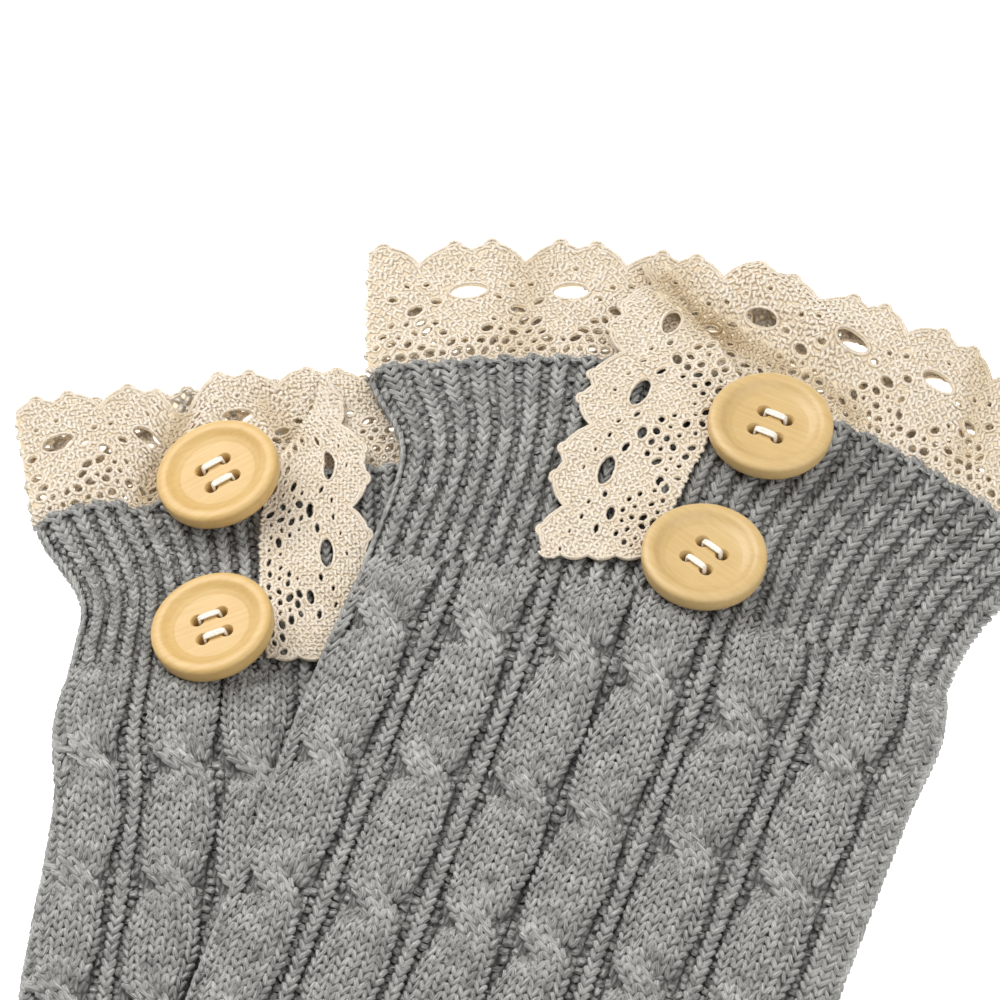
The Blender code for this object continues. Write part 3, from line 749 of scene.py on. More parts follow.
def mesh_from(name, places, faces):
    """A smooth mesh from world places and faces, its faces turned outwards."""
    mesh = bpy.data.meshes.new(name)
    mesh.from_pydata(places.tolist(), [], faces)
    work = bmesh.new()
    work.from_mesh(mesh)
    bmesh.ops.recalc_face_normals(work, faces=work.faces[:])
    work.to_mesh(mesh)
    work.free()
    mesh.shade_smooth()
    return mesh


def float_tree():
    """Geometry Nodes tree that lays one bent, tapered float of yarn or thread on each point.

    The points carry turn, size and shade. The fibre attribute keeps each float's own coordinates.
    """
    tree = bpy.data.node_groups.new("Yarn floats", "GeometryNodeTree")
    tree.interface.new_socket("Geometry", in_out="INPUT", socket_type="NodeSocketGeometry")
    for name, kind, value in (("Sides", "NodeSocketInt", 4), ("Rings", "NodeSocketInt", 3),
                              ("Bend", "NodeSocketFloat", 0.35),
                              ("Material", "NodeSocketMaterial", None)):
        socket = tree.interface.new_socket(name, in_out="INPUT", socket_type=kind)
        if value is not None:
            socket.default_value = value
    tree.interface.new_socket("Geometry", in_out="OUTPUT", socket_type="NodeSocketGeometry")
    given = add(tree, "NodeGroupInput")
    ball = add(tree, "GeometryNodeMeshUVSphere",
               {"Segments": given.outputs["Sides"], "Rings": given.outputs["Rings"], "Radius": 0.5})
    lying = add(tree, "GeometryNodeTransform",
                {"Geometry": ball.outputs[0], "Rotation": (0.0, math.pi / 2, 0.0),
                 "Scale": (FLOAT_FULL, FLOAT_FULL, 1.0)})
    start = add(tree, "GeometryNodeInputPosition")
    along = add(tree, "ShaderNodeSeparateXYZ", {0: start.outputs[0]})
    square = add(tree, "ShaderNodeMath", {0: along.outputs["X"], 1: along.outputs["X"]},
                 operation="MULTIPLY")
    rest = add(tree, "ShaderNodeMath", {0: 0.25, 1: square.outputs[0]}, operation="SUBTRACT")
    blunt = add(tree, "ShaderNodeMath", {0: rest.outputs[0], 1: along.outputs["X"]},
                operation="MULTIPLY")
    further = add(tree, "ShaderNodeMath", {0: blunt.outputs[0], 1: FLOAT_BLUNT}, operation="MULTIPLY")
    arch = add(tree, "ShaderNodeMath", {0: rest.outputs[0], 1: given.outputs["Bend"]},
               operation="MULTIPLY")
    higher = add(tree, "ShaderNodeMath", {0: arch.outputs[0], 1: 2.0}, operation="MULTIPLY")
    shift = add(tree, "ShaderNodeCombineXYZ", {"X": further.outputs[0], "Z": higher.outputs[0]})
    closed = add(tree, "GeometryNodeSetPosition",
                 {"Geometry": lying.outputs[0], "Offset": shift.outputs[0]})
    local = add(tree, "GeometryNodeInputPosition")
    marked = add(tree, "GeometryNodeStoreNamedAttribute",
                 {"Geometry": closed.outputs[0], "Name": "fibre", "Value": local.outputs[0]},
                 data_type="FLOAT_VECTOR", domain="POINT")
    turn = add(tree, "GeometryNodeInputNamedAttribute", {"Name": "turn"}, data_type="FLOAT_VECTOR")
    size = add(tree, "GeometryNodeInputNamedAttribute", {"Name": "size"}, data_type="FLOAT_VECTOR")
    laid = add(tree, "GeometryNodeInstanceOnPoints",
               {"Points": given.outputs["Geometry"], "Instance": marked.outputs[0],
                "Rotation": turn.outputs["Attribute"], "Scale": size.outputs["Attribute"]})
    real = add(tree, "GeometryNodeRealizeInstances", {"Geometry": laid.outputs[0]})
    even = add(tree, "GeometryNodeSetShadeSmooth", {"Geometry": real.outputs[0]})
    done = add(tree, "GeometryNodeSetMaterial",
               {"Geometry": even.outputs[0], "Material": given.outputs["Material"]})
    add(tree, "NodeGroupOutput", {"Geometry": done.outputs[0]})
    return tree


def baked_object(piece):
    """Replace an object by the plain mesh that its modifiers make."""
    graph = bpy.context.evaluated_depsgraph_get()
    mesh = bpy.data.meshes.new_from_object(piece.evaluated_get(graph), depsgraph=graph)
    piece.modifiers.clear()
    old = piece.data
    piece.data = mesh
    bpy.data.meshes.remove(old)
    return piece


def lay_floats(name, floats, shades, material, sides=4, rings=3, bend=0.35):
    """A piece with one float on each middle, pointing along with up on top, and none under the floor."""
    mesh = bpy.data.meshes.new(name)
    mesh.from_pydata(to_metres(floats.middle).tolist(), [], [])
    for label, values in (("turn", euler_of(floats.along, floats.up)), ("size", floats.size * MM)):
        attribute = mesh.attributes.new(label, "FLOAT_VECTOR", "POINT")
        attribute.data.foreach_set("vector", values.ravel())
    mesh.attributes.new("shade", "FLOAT", "POINT").data.foreach_set("value", shades)
    piece = link_object(name, mesh)
    tree = bpy.data.node_groups.get("Yarn floats") or float_tree()
    lay = piece.modifiers.new("floats", "NODES")
    lay.node_group = tree
    chosen = {"Sides": sides, "Rings": rings, "Bend": bend, "Material": material}
    for item in tree.interface.items_tree:
        if item.name in chosen:
            lay[item.identifier] = chosen[item.name]
    baked_object(piece)
    places = np.empty(3 * len(piece.data.vertices), np.float32)
    piece.data.vertices.foreach_get("co", places)
    places[2::3] = np.maximum(places[2::3], 0.0)
    piece.data.vertices.foreach_set("co", places)
    for label in ("turn", "size"):
        if label in piece.data.attributes:
            piece.data.attributes.remove(piece.data.attributes[label])
    return piece


def tube_places(garment, columns, rows):
    """The wall's grids: its outside with the relief of ribs and cables, and its inside."""
    w, v = np.meshgrid(columns, rows)
    relief = flattened(GROUND_RELIEF * base_relief(garment, w, v), w)
    front = knit_place(garment, w, v, relief - GROUND_DROP - GROOVE_DEEP)
    inset = (FOLD_RADIUS / width_at(garment, rows))[:, None]
    plain_u = inset + (1 - 2 * inset) * np.linspace(0, 1, PLAIN_COLUMNS)[None, :]
    x, y = plan(garment, plain_u, rows[:, None])
    rest = rest_height(garment, x, y)
    back = np.stack((x, y, rest), -1)
    lower = np.stack((x, y, rest + BACK_WALL), -1)[:, 1:-1]
    x, y = plan(garment, plain_u, rows[:, None], True)
    upper = np.stack((x, y, rest + BACK_WALL + INNER_GAP), -1)
    return np.concatenate((front, back[:, ::-1]), 1), np.concatenate((upper, lower[:, ::-1]), 1)


def tube_faces(outer, inner, front_count):
    """Faces of the wall's outside and inside, and of its two ends."""
    faces = []
    first = 0
    for row_count, column_count in (outer.shape[:2], inner.shape[:2]):
        for r in range(row_count - 1):
            for c in range(column_count):
                d = (c + 1) % column_count
                low, high = first + r * column_count, first + (r + 1) * column_count
                faces.append((low + c, high + c, high + d, low + d))
        first += row_count * column_count
    row_count, out_count = outer.shape[:2]
    in_count = inner.shape[1]
    for row in (0, row_count - 1):
        ring_out = [row * out_count + c for c in range(out_count)]
        ring_in = [row_count * out_count + row * in_count + c for c in range(in_count)]
        top_out = ring_out[FOLD_COLUMNS:front_count - FOLD_COLUMNS]
        low_out = ring_out[front_count - FOLD_COLUMNS - 1:] + ring_out[:FOLD_COLUMNS + 1]
        faces += between_rows(top_out, ring_in[:PLAIN_COLUMNS])
        faces += between_rows(low_out, ring_in[PLAIN_COLUMNS - 1:] + ring_in[:1])
    return faces


def build_tube(garment, materials):
    """The knitted tube as one closed wall, with its ribs and cables as ground for the yarn."""
    rows = np.linspace(0.0, KNIT_END, TUBE_ROWS)
    wale = (width_at(garment, FOLD_COLUMNS_V) - TUBE_THICK) / WALE_COUNT
    reach = math.pi / 2 * FOLD_RADIUS / wale
    columns = np.concatenate(([-reach, -reach / 2], np.linspace(0, WALE_COUNT, 2 * WALE_COUNT + 1),
                              [WALE_COUNT + reach / 2, WALE_COUNT + reach]))
    outer, inner = tube_places(garment, columns, rows)
    places = to_metres(np.concatenate((outer.reshape(-1, 3), inner.reshape(-1, 3))))
    name = garment.name + "_knit_ground"
    mesh = mesh_from(name, places, tube_faces(outer, inner, len(columns)))
    corner = np.empty(len(mesh.loops), int)
    mesh.loops.foreach_get("vertex_index", corner)
    plain = np.linspace(0, WALE_COUNT, PLAIN_COLUMNS)
    table = []
    for across in ((columns, np.linspace(WALE_COUNT, 0, PLAIN_COLUMNS)),
                   (plain, np.linspace(WALE_COUNT, 0, PLAIN_COLUMNS)[1:-1])):
        wales, heights = np.broadcast_arrays(np.concatenate(across)[None, :], rows[:, None] / LOOP_HIGH)
        table.append(np.stack((wales, heights), -1).reshape(-1, 2))
    loops = mesh.uv_layers.new(name="Loops")
    loops.uv.foreach_set("vector", np.concatenate(table)[corner].astype(np.float32).ravel())
    # The front's faces take the second, darker ground: painted shade between the stitches
    painted_shade_slot = np.zeros(len(mesh.polygons), np.int32)
    for row in range(TUBE_ROWS - 1):
        first = row * outer.shape[1]
        painted_shade_slot[first:first + len(columns) - 1] = 1
    mesh.polygons.foreach_set("material_index", painted_shade_slot)
    return link_object(name, mesh, materials)


def between_rows(first, second):
    """Triangles between two rows of points whose counts differ."""
    faces = []
    i = j = 0
    while i < len(first) - 1 or j < len(second) - 1:
        behind = (i + 1) / (len(first) - 1) <= (j + 1) / (len(second) - 1)
        if j == len(second) - 1 or (i < len(first) - 1 and behind):
            faces.append((first[i], first[i + 1], second[j]))
            i += 1
        else:
            faces.append((first[i], second[j + 1], second[j]))
            j += 1
    return faces


Floats = namedtuple("Floats", "middle along up size")


def join_floats(groups):
    """One set of floats from several."""
    return Floats(*(np.concatenate([getattr(g, field) for g in groups]) for field in Floats._fields))


def stitch_legs(place, side, sizes, spread, leg_wide, reach, rng):
    """One leg of each V stitch. place(across, down) gives places, across in wales, down in millimetres."""
    foot = place(side * FOOT_SPREAD, reach)
    head = place(side * spread, -reach)
    along = head - foot
    middle_across = side * spread / 2
    across = place(middle_across + ACROSS_STEP, 0.0) - place(middle_across - ACROSS_STEP, 0.0)
    up = unit(np.cross(across, along))
    length = np.linalg.norm(along, axis=-1)
    count = len(length)
    wide = leg_wide * rng.normal(1.0, LEG_WIDE_JITTER, count)
    size = np.stack((length * LEG_OVERLAP, wide, np.full(count, sizes.yarn_thick)), -1)
    middle = (foot + head) / 2 - up * sizes.yarn_thick * LEG_SINK
    middle += rng.normal(0.0, LEG_PLACE_JITTER, (count, 3))
    along = unit(along) + rng.normal(0.0, LEG_AIM_JITTER, (count, 3))
    return Floats(middle, along, up, size)


def stitch_rows(sizes, start):
    """The v of each row of stitches, which start at this share of a row."""
    return (np.arange(int(KNIT_END / sizes.row_pitch)) + start) * sizes.row_pitch


def rib_stitches(garment, sizes, rng):
    """V stitches on the ribs of the cuff, the hem and the single ribs between the cables."""
    rows = stitch_rows(sizes, LEG_ROW_START)
    ends = (rows < CUFF_END) | (rows > HEM_START)
    groups = []
    for index in range(-FOLD_RIBS, WALE_COUNT + FOLD_RIBS):
        kind = wale_kind(garment, index)[0]
        plain = kind == "rib" or index < 0 or index >= WALE_COUNT
        for spread, wider, share, chosen in (
                (CUFF_LEG_SPREAD, 1.0, 1.0, ends & (index % 2 == 0)),
                (BODY_LEG_SPREAD, BODY_LEG_WIDER, BODY_RIB, ~ends & plain)):
            v = rows[chosen]

            def place(across, down, middle=index + 0.5, v=v, share=share):
                wale = middle + across
                relief = share * rib_relief(across)
                relief = relief + (FOLD_RIB * RIB_RAISE - relief) * (1 - side_share(wale))
                return knit_place(garment, wale, v + down, relief)

            for side in (-1, 1):
                groups.append(stitch_legs(place, side, sizes, spread, wider * sizes.leg_wide,
                                          RIB_LEG_REACH * sizes.row_pitch, rng))
    return groups


def edge_stitches(garment, sizes, rng):
    """The cast-on and cast-off edges: a low, uneven twisted cord along each end of the front."""
    wale = np.arange(-EDGE_PAST, WALE_COUNT + EDGE_PAST, EDGE_STEP)
    groups = []
    wave = EDGE_SWAY * np.cos(math.pi * (wale - 0.5))
    wave = wave + EDGE_UNEVEN * np.sin(0.9 * wale) * np.sin(0.37 * wale + 1.0)
    for edge, way in ((EDGE_IN, 1), (KNIT_END - EDGE_IN, -1)):
        for shift in (0.0, EDGE_PLY_SHIFT):
            v = edge - way * wave
            height = EDGE_RELIEF * base_relief(garment, wale, v) - EDGE_DROP + EDGE_PLY_LIFT * shift
            middle = knit_place(garment, wale, v + way * shift, height)
            ahead = knit_place(garment, wale + EDGE_AHEAD, v + way * (shift + EDGE_TWIST), height)
            below = knit_place(garment, wale, v + 1.0, height) - knit_place(garment, wale, v - 1.0, height)
            along = ahead - middle
            up = unit(np.cross(below, along))
            count = len(wale)
            size = np.stack((rng.uniform(*EDGE_PLY_LONG, count), rng.uniform(*EDGE_PLY_WIDE, count),
                             np.full(count, EDGE_PLY_THICK)), -1)
            groups.append(Floats(middle + rng.normal(0.0, EDGE_PLACE_JITTER, (count, 3)),
                                 unit(along) + rng.normal(0.0, EDGE_AIM_JITTER, (count, 3)), up, size))
    return groups


def cable_stitches(garment, sizes, rng):
    """V stitches along the two strands of every cable."""
    rows = stitch_rows(sizes, LEG_ROW_START)
    rows = rows[(rows >= CUFF_END) & (rows <= HEM_START)]
    groups = []
    for start in garment.cables.starts:
        middle = start + CABLE_WALES / 2
        phase = cable_phase(garment, middle, rows)
        for is_over in (True, False):
            for number in (-1, 0, 1):
                wale = middle + strand_middle(phase, is_over) + number * cable_wide(phase)
                chosen = (wale > -CABLE_PAST) & (wale < WALE_COUNT + CABLE_PAST)
                if not is_over:
                    outward = number * np.sign(strand_middle(phase, False))
                    chosen &= np.abs(wale - middle - strand_middle(phase, True)) > UNDER_HIDE
                    chosen &= np.abs(phase - 0.5) > UNDER_CUT + UNDER_ROUND * (1 + outward)
                v = rows[chosen]

                def place(across, down, number=number, is_over=is_over, middle=middle, v=v):
                    here = cable_phase(garment, middle, v)
                    there = np.clip(here + down / garment.cables.pitch, 0.0, 1.0)
                    opened = CROSSING_SPREAD * crossing_share(there) * is_over
                    from_strand = (number + across) * (cable_wide(there) + opened)
                    height = strand_round(from_strand, there, is_over)
                    fade = cable_fade(v + down)
                    height = height * fade + FADED_CABLE * RIB_RAISE * (1 - fade)
                    centre = strand_middle(there, is_over)
                    height = flattened(height, middle + centre + from_strand)
                    centre = centre * fade + (1 - fade) * STRAND_OFFSET * np.sign(centre)
                    return knit_place(garment, middle + centre + from_strand, v + down, height)

                wider = 1 + CROSSING_LEG_WIDER * crossing_share(phase[chosen]) * is_over
                for side in (-1, 1):
                    groups.append(stitch_legs(place, side, sizes, CABLE_LEG_SPREAD,
                                              sizes.cable_leg_wide * wider,
                                              CABLE_LEG_REACH * sizes.row_pitch, rng))
    return groups


def purl_bumps(garment, sizes, rng):
    """Short level floats in the grooves between ribs and beside cables."""
    rows = stitch_rows(sizes, PURL_ROW_START)
    ends = (rows < CUFF_END) | (rows > HEM_START)
    groups = []
    for index in range(-1, WALE_COUNT):
        chosen = ends & (index % 2 == 1)
        kind, start = wale_kind(garment, index)
        if kind == "purl" and index >= 0:
            chosen |= ~ends
        elif kind == "cable" and index in (start, start + CABLE_WALES - 1):
            phase = cable_phase(garment, start + CABLE_WALES / 2, rows)
            chosen |= ~ends & (np.abs(phase - 0.5) < PURL_CROSSING_PHASES)
        v = rows[chosen]
        left = knit_place(garment, index, v, -PURL_DEEP)
        right = knit_place(garment, index + 1.0, v, -PURL_DEEP)
        below = knit_place(garment, index + 0.5, v + 1.0, 0.0) - knit_place(garment, index + 0.5, v, 0.0)
        along = right - left
        up = unit(np.cross(below, along))
        count = len(v)
        size = np.stack((np.linalg.norm(along, axis=-1) * rng.uniform(*PURL_LONGER, count),
                         rng.uniform(*PURL_WIDE, count), np.full(count, PURL_THICK)), -1)
        middle = (left + right) / 2 - PURL_SINK * up
        groups.append(Floats(middle + rng.normal(0.0, PURL_PLACE_JITTER, (count, 3)),
                             unit(along) + rng.normal(0.0, PURL_AIM_JITTER, (count, 3)), up, size))
    return groups


def loose_fibres(garment, legs, sizes, rng):
    """Hairs that stand off the yarn, each from a stitch's leg chosen at random."""
    count = sizes.fibre_count
    chosen = rng.choice(len(legs.middle), count)
    along = unit(legs.along[chosen])
    up = legs.up[chosen]
    side = np.cross(up, along)
    swing = rng.normal(0.0, HAIR_SWING, count)[:, None]
    lift = np.abs(rng.normal(*HAIR_LIFT, count))[:, None]
    aim = unit(along * np.cos(swing) + side * np.sin(swing) + up * lift)
    length = rng.uniform(*HAIR_LONG, count)
    middle = legs.middle[chosen] + up * (sizes.yarn_thick * 0.5)
    middle = middle + side * rng.normal(0.0, HAIR_ASIDE, count)[:, None]
    middle = middle + aim * (rng.uniform(*HAIR_SHIFT, count) * length)[:, None]
    thick = rng.uniform(*HAIR_THICK, count)
    size = np.stack((length, thick, thick), -1)
    return Floats(middle, aim, up + rng.normal(0.0, HAIR_ROLL, (count, 3)), size)


class KnitSizes(bpy.types.PropertyGroup):
    """Yarn and gauge of the knitted tubes."""
    row_pitch: FloatProperty(
        name="Row pitch", description="Height of one row of stitches, in mm", default=2.47)
    leg_wide: FloatProperty(
        name="Leg width", description="Width of one leg of a V stitch, in mm", default=1.36)
    cable_leg_wide: FloatProperty(
        name="Cable leg width", description="Width of a leg on the cables, in mm", default=1.38)
    yarn_thick: FloatProperty(
        name="Yarn thickness", description="Height of a stitch's leg, in mm", default=1.22)
    fibre_count: IntProperty(
        name="Loose fibres", description="Hairs that stand off each leg warmer", default=8500)
    shade_hex: StringProperty(
        name="Dark fibre", description="sRGB hex of the dark fibres", default="#676662")
    pale_hex: StringProperty(
        name="Pale fibre", description="sRGB hex of the pale fibres", default="#CDCCC7")


class LEGWARMER_OT_knit(bpy.types.Operator):
    """Build both knitted tubes with their stitches, purl bumps and loose fibres"""
    bl_idname = "legwarmer.knit"
    bl_label = "Knitted tubes"

    def execute(self, context):
        sizes = context.scene.legwarmer_knit
        # The second ground is a darker copy of the first for the front's faces: painted shade seen between
        # the stitches
        grounds = (knit_ground_material("melange_knit_back", sizes.shade_hex, sizes.pale_hex),
                   knit_ground_material("melange_knit_between_stitches", "#454441", "#8A8985"))
        yarn = yarn_material("melange_spun_yarn", sizes.shade_hex, sizes.pale_hex, 8.0, 1.0)
        # A duller, slightly darker copy of the yarn for the purl bumps: painted shade in the grooves
        shaded = yarn_material("melange_yarn_in_the_grooves", "#6C6B67", "#C2C1BC", 4.0, 1.0)
        # The loose hairs are paler than the yarn: partly their own pale fibres, partly painted highlight
        # where they catch the light
        hair = yarn_material("melange_loose_fibre", "#9A9995", "#E4E3DE", 2.0, 0.0)
        for garment in GARMENTS:
            rng = np.random.default_rng(garment.seed)
            tube = build_tube(garment, grounds)
            legs = join_floats(rib_stitches(garment, sizes, rng) + cable_stitches(garment, sizes, rng)
                               + edge_stitches(garment, sizes, rng))
            stitches = lay_floats(garment.name + "_knit_stitches", legs, rng.random(len(legs.middle)),
                                  yarn, bend=0.6)
            bumps = join_floats(purl_bumps(garment, sizes, rng))
            purls = lay_floats(garment.name + "_purl_bumps", bumps, rng.random(len(bumps.middle)),
                               shaded, sides=3)
            hairs = loose_fibres(garment, legs, sizes, rng)
            fibres = lay_floats(garment.name + "_loose_fibres", hairs, rng.random(len(hairs.middle)),
                                hair, sides=3, rings=2, bend=2.5)
            for piece in (tube, stitches, purls, fibres):
                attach(piece, "root")
            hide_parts(garment.name + "_leg_tube")
        return {"FINISHED"}


def scallop(along):
    """Lace width at a distance from the middle of a repeat: two rounded tips, each ending in a picot knob."""
    along = (along + LACE_PERIOD / 2) % LACE_PERIOD - LACE_PERIOD / 2
    from_tip = np.abs(along) - SCALLOP_TWIN
    bump = np.maximum(1 - (from_tip / SCALLOP_REACH) ** 2, 0.0)
    knob = PICOT_HIGH * np.sqrt(np.maximum(1 - (from_tip / PICOT_REACH) ** 2, 0.0))
    return LACE_WIDE - SCALLOP_DEEP * (1 - bump) + knob - PICOT_HIGH / 2


# Holes of one lace repeat beside its big eyelet: place along and across, length and height
Hole = namedtuple("Hole", "along across long high")
SMALL_HOLES = (
    Hole(-6.9, 16.0, 2.6, 1.5), Hole(6.6, 16.8, 2.2, 1.3), Hole(0.3, 24.0, 1.3, 0.9),
    Hole(-5.0, 22.6, 1.2, 0.8), Hole(9.4, 20.0, 1.5, 1.0), Hole(-9.4, 20.6, 1.6, 1.0),
    Hole(11.5, 13.8, 3.9, 2.2),
)

# The big eyelet as it is cut, how much wider it is in the back layer, and how far holes lean, in radians
EYELET_CUT_LONG = 8.0
EYELET_CUT_SHORT = 3.7
BACK_WIDER = 3.6
EYELET_LEAN = 0.06
HOLE_LEAN = 0.25

# The net of small holes beside the seam: it reaches up to NET_TOP, and less under the eyelets. Its
# holes differ in size, place and lean, and the bigger ones are flatter
NET_ROWS = 4
NET_COLUMNS = 7
NET_PITCH = 2.75
NET_FIRST = 2.6
NET_TOP = 13.6
NET_DIP = 6.5
NET_DIP_POWER = 6
NET_SIZES = (0.45, 1.35)
NET_LONG = 2.3
NET_HIGH = 1.6
NET_HIGH_POWER = 0.7
NET_SHIFT = 0.3
NET_LEAN = 0.5

# Steps of the cut cloth's outline and of the points inside it, the length from which a hole is an
# eyelet, and corners of eyelets and of other holes
TIP_STEP = 0.8
SEAM_STEP = 2.0
END_POINTS = 36
FILL_STEP = 1.7
EYELET_LEAST = 4
EYELET_CORNERS = 16
HOLE_CORNERS = 8

# Points inside the outline: how many shift together by half a step, where they start and end across,
# how far slanted ends may reach past the seam, and how far points stay from holes, ends and scallops
FILL_RUN = 7
FILL_FIRST = 1.3
FILL_LAST = LACE_WIDE - 1.0
MITRE_REACH = 30.0
FILL_OFF_HOLES = 0.5
FILL_OFF_ENDS = 0.8
FILL_OFF_TIPS = 0.7

# How far a hole's middle stays from the ends, as a share of its length, and from the seam, as a share
# of its height and in millimetres, and how far inside it a triangle's middle is when it is cut away
HOLE_OFF_ENDS = 0.7
HOLE_OFF_SEAM = (0.6, 0.2)
CUT_INSIDE = 0.02

# Cords round the holes and along the edge: step of their floats, their length in steps, their width
# and thickness, how far outside a hole's rim they lie and how many there are at least, how far in
# from the edge both cords lie, and where those along the edge and the cut end start and stop
RIM_STEP = 0.8
RIM_LONG = 2.0
RIM_WIDE = 0.8
RIM_THICK = 0.46
RIM_OUT = 0.3
RIM_LEAST = 5
EDGE_CORD_IN = 0.35
SECOND_CORD_IN = 0.75
EDGE_CORD_STOP = 0.5
EDGE_CORD_STEP = 0.25
END_CORD_FIRST = 0.6
END_CORD_LAST = LACE_WIDE - 1.5

# Floats of the dense parts: their length and width as shares of their pitch, their thickness, how far
# they stay from holes, ends and scallops, how they slant either way and sway, and the distance over
# which the sway grows
CLOTH_THREAD_LONG = 1.5
CLOTH_THREAD_SPAN = (0.9, 1.15)
CLOTH_THREAD_WIDE = 0.95
CLOTH_THREAD_THICK = 0.3
CLOTH_OFF_HOLES = 0.45
CLOTH_OFF_ENDS = 0.3
CLOTH_OFF_TIPS = 1.1
CLOTH_SLANT = 0.8
CLOTH_SWAY = 0.45
CLOTH_SWAY_REACH = 20.0

# Unevenness of the lace's floats: place as a share of their pitch, direction, width and height
CLOTH_PLACE_JITTER = 0.13
CLOTH_AIM_JITTER = 0.24
THREAD_WIDE_JITTER = 0.1
THREAD_LIFT_JITTER = 0.04

# The front band's soft waves, and those of the flap: height and lengths, and how the band's slant
BAND_WAVE = 0.6
BAND_WAVE_LONG = (9.0, 7.0)
BAND_WAVE_SLANT = (0.05, 0.03)
FLAP_WAVE = 0.35
FLAP_WAVE_LONG = (3.3, 5.0)

# Where the flap passes from the band to the cuff, and over what length
FLAP_STEP_START = -19.0
FLAP_STEP_LONG = 14.0

# The flap's cut end: height, length and roundness of its bumps, and depth, start and length of its
# rounded corner. The mitre's corner is given in the same way
END_BUMP = 1.3
END_BUMP_LONG = 7.6
END_BUMP_POWER = 0.7
END_CORNER = (2.2, 26.5, 4.5)
MITRE_CORNER = (4.5, 24.0, 7.0)
CORNER_MOST = 1.2

# How a strip of lace is laid: middles of its eyelets, its ends at a distance across, its places,
# its length and the pitch of its threads
Strip = namedtuple("Strip", "middles start end place length pitch")


def lace_holes(middles, wider, closed, rng):
    """Every hole of a strip of lace whose big eyelets are at these middles, one row for each."""
    rows = []
    for number, middle in enumerate(middles):
        if number not in closed:
            rows.append((middle, EYELET_IN, EYELET_CUT_LONG + wider, EYELET_CUT_SHORT + wider,
                         rng.normal(0.0, EYELET_LEAN)))
        for hole in SMALL_HOLES:
            rows.append((middle + hole.along, hole.across, hole.long, hole.high,
                         rng.normal(0.0, HOLE_LEAN)))
        for row in range(NET_ROWS):
            across = NET_FIRST + NET_PITCH * row
            for column in range(NET_COLUMNS):
                along = (column + 0.5 * (row % 2)) * LACE_PERIOD / NET_COLUMNS - LACE_PERIOD / 2
                top = NET_TOP - NET_DIP * math.cos(math.pi * along / LACE_PERIOD) ** NET_DIP_POWER
                big, shift = rng.uniform(*NET_SIZES), rng.normal(0.0, NET_SHIFT, 2)
                if across < top:
                    rows.append((middle + along + shift[0], across + shift[1], NET_LONG * big,
                                 NET_HIGH * big ** NET_HIGH_POWER, rng.normal(0.0, NET_LEAN)))
    return np.array(rows)


def hole_reach(points, holes):
    """For each point, how far it is outside the nearest hole's rim, about in millimetres."""
    away = points[:, None, :] - holes[None, :, :2]
    cos, sin = np.cos(holes[:, 4]), np.sin(holes[:, 4])
    turned_x = away[..., 0] * cos + away[..., 1] * sin
    turned_y = -away[..., 0] * sin + away[..., 1] * cos
    reach = np.hypot(turned_x / (holes[:, 2] / 2), turned_y / (holes[:, 3] / 2))
    return ((reach - 1) * np.minimum(holes[:, 2], holes[:, 3]) / 2).min(1)


def hole_rim(hole, wider, angle):
    """Points of a hole's rim, or of one this much wider, at angles from its long axis."""
    along, across, long, high, lean = hole
    x, y = (long / 2 + wider) * np.cos(angle), (high / 2 + wider) * np.sin(angle)
    return np.stack((along + x * math.cos(lean) - y * math.sin(lean),
                     across + x * math.sin(lean) + y * math.cos(lean)), -1)


def lace_outline(lace):
    """Points round a strip of lace: its seam, one end, its scallops and the other end."""
    length = float(lace.end(LACE_WIDE) - lace.start(LACE_WIDE))
    steps = int(length / TIP_STEP)
    along = lace.start(LACE_WIDE) + length * np.arange(steps + 1) / steps
    tips = np.stack((along, scallop(along - lace.middles[0])), -1)
    low, high = float(lace.start(0.0)), float(lace.end(0.0))
    count = int((high - low) / SEAM_STEP) + 1
    seam = np.stack((np.linspace(low, high, count), np.zeros(count)), -1)
    sides = []
    for edge, order in ((lace.end, 1), (lace.start, -1)):
        across = np.linspace(0.0, LACE_WIDE - SCALLOP_DEEP, END_POINTS)[1:-1][::order]
        sides.append(np.stack((edge(across), across), -1))
    outline = np.concatenate((seam, sides[0], tips[::-1], sides[1]))
    keep = np.ones(len(outline), bool)
    keep[1:] = np.linalg.norm(np.diff(outline, axis=0), axis=1) > 1e-3
    return outline[keep]


def lace_points(lace, cut):
    """Points inside a strip of lace, clear of its holes and its edge."""
    low, high = float(lace.start(0.0)) - MITRE_REACH, float(lace.end(0.0)) + MITRE_REACH
    grid = np.meshgrid(np.arange(low, high, FILL_STEP), np.arange(FILL_FIRST, FILL_LAST, FILL_STEP))
    fill = np.stack(grid, -1).reshape(-1, 2)
    fill[:, 0] += FILL_STEP / 2 * (np.arange(len(fill)) // FILL_RUN % 2)
    inner = hole_reach(fill, cut) > FILL_OFF_HOLES
    inner &= fill[:, 0] > lace.start(fill[:, 1]) + FILL_OFF_ENDS
    inner &= fill[:, 0] < lace.end(fill[:, 1]) - FILL_OFF_ENDS
    inner &= fill[:, 1] < scallop(fill[:, 0] - lace.middles[0]) - FILL_OFF_TIPS
    return fill[inner]


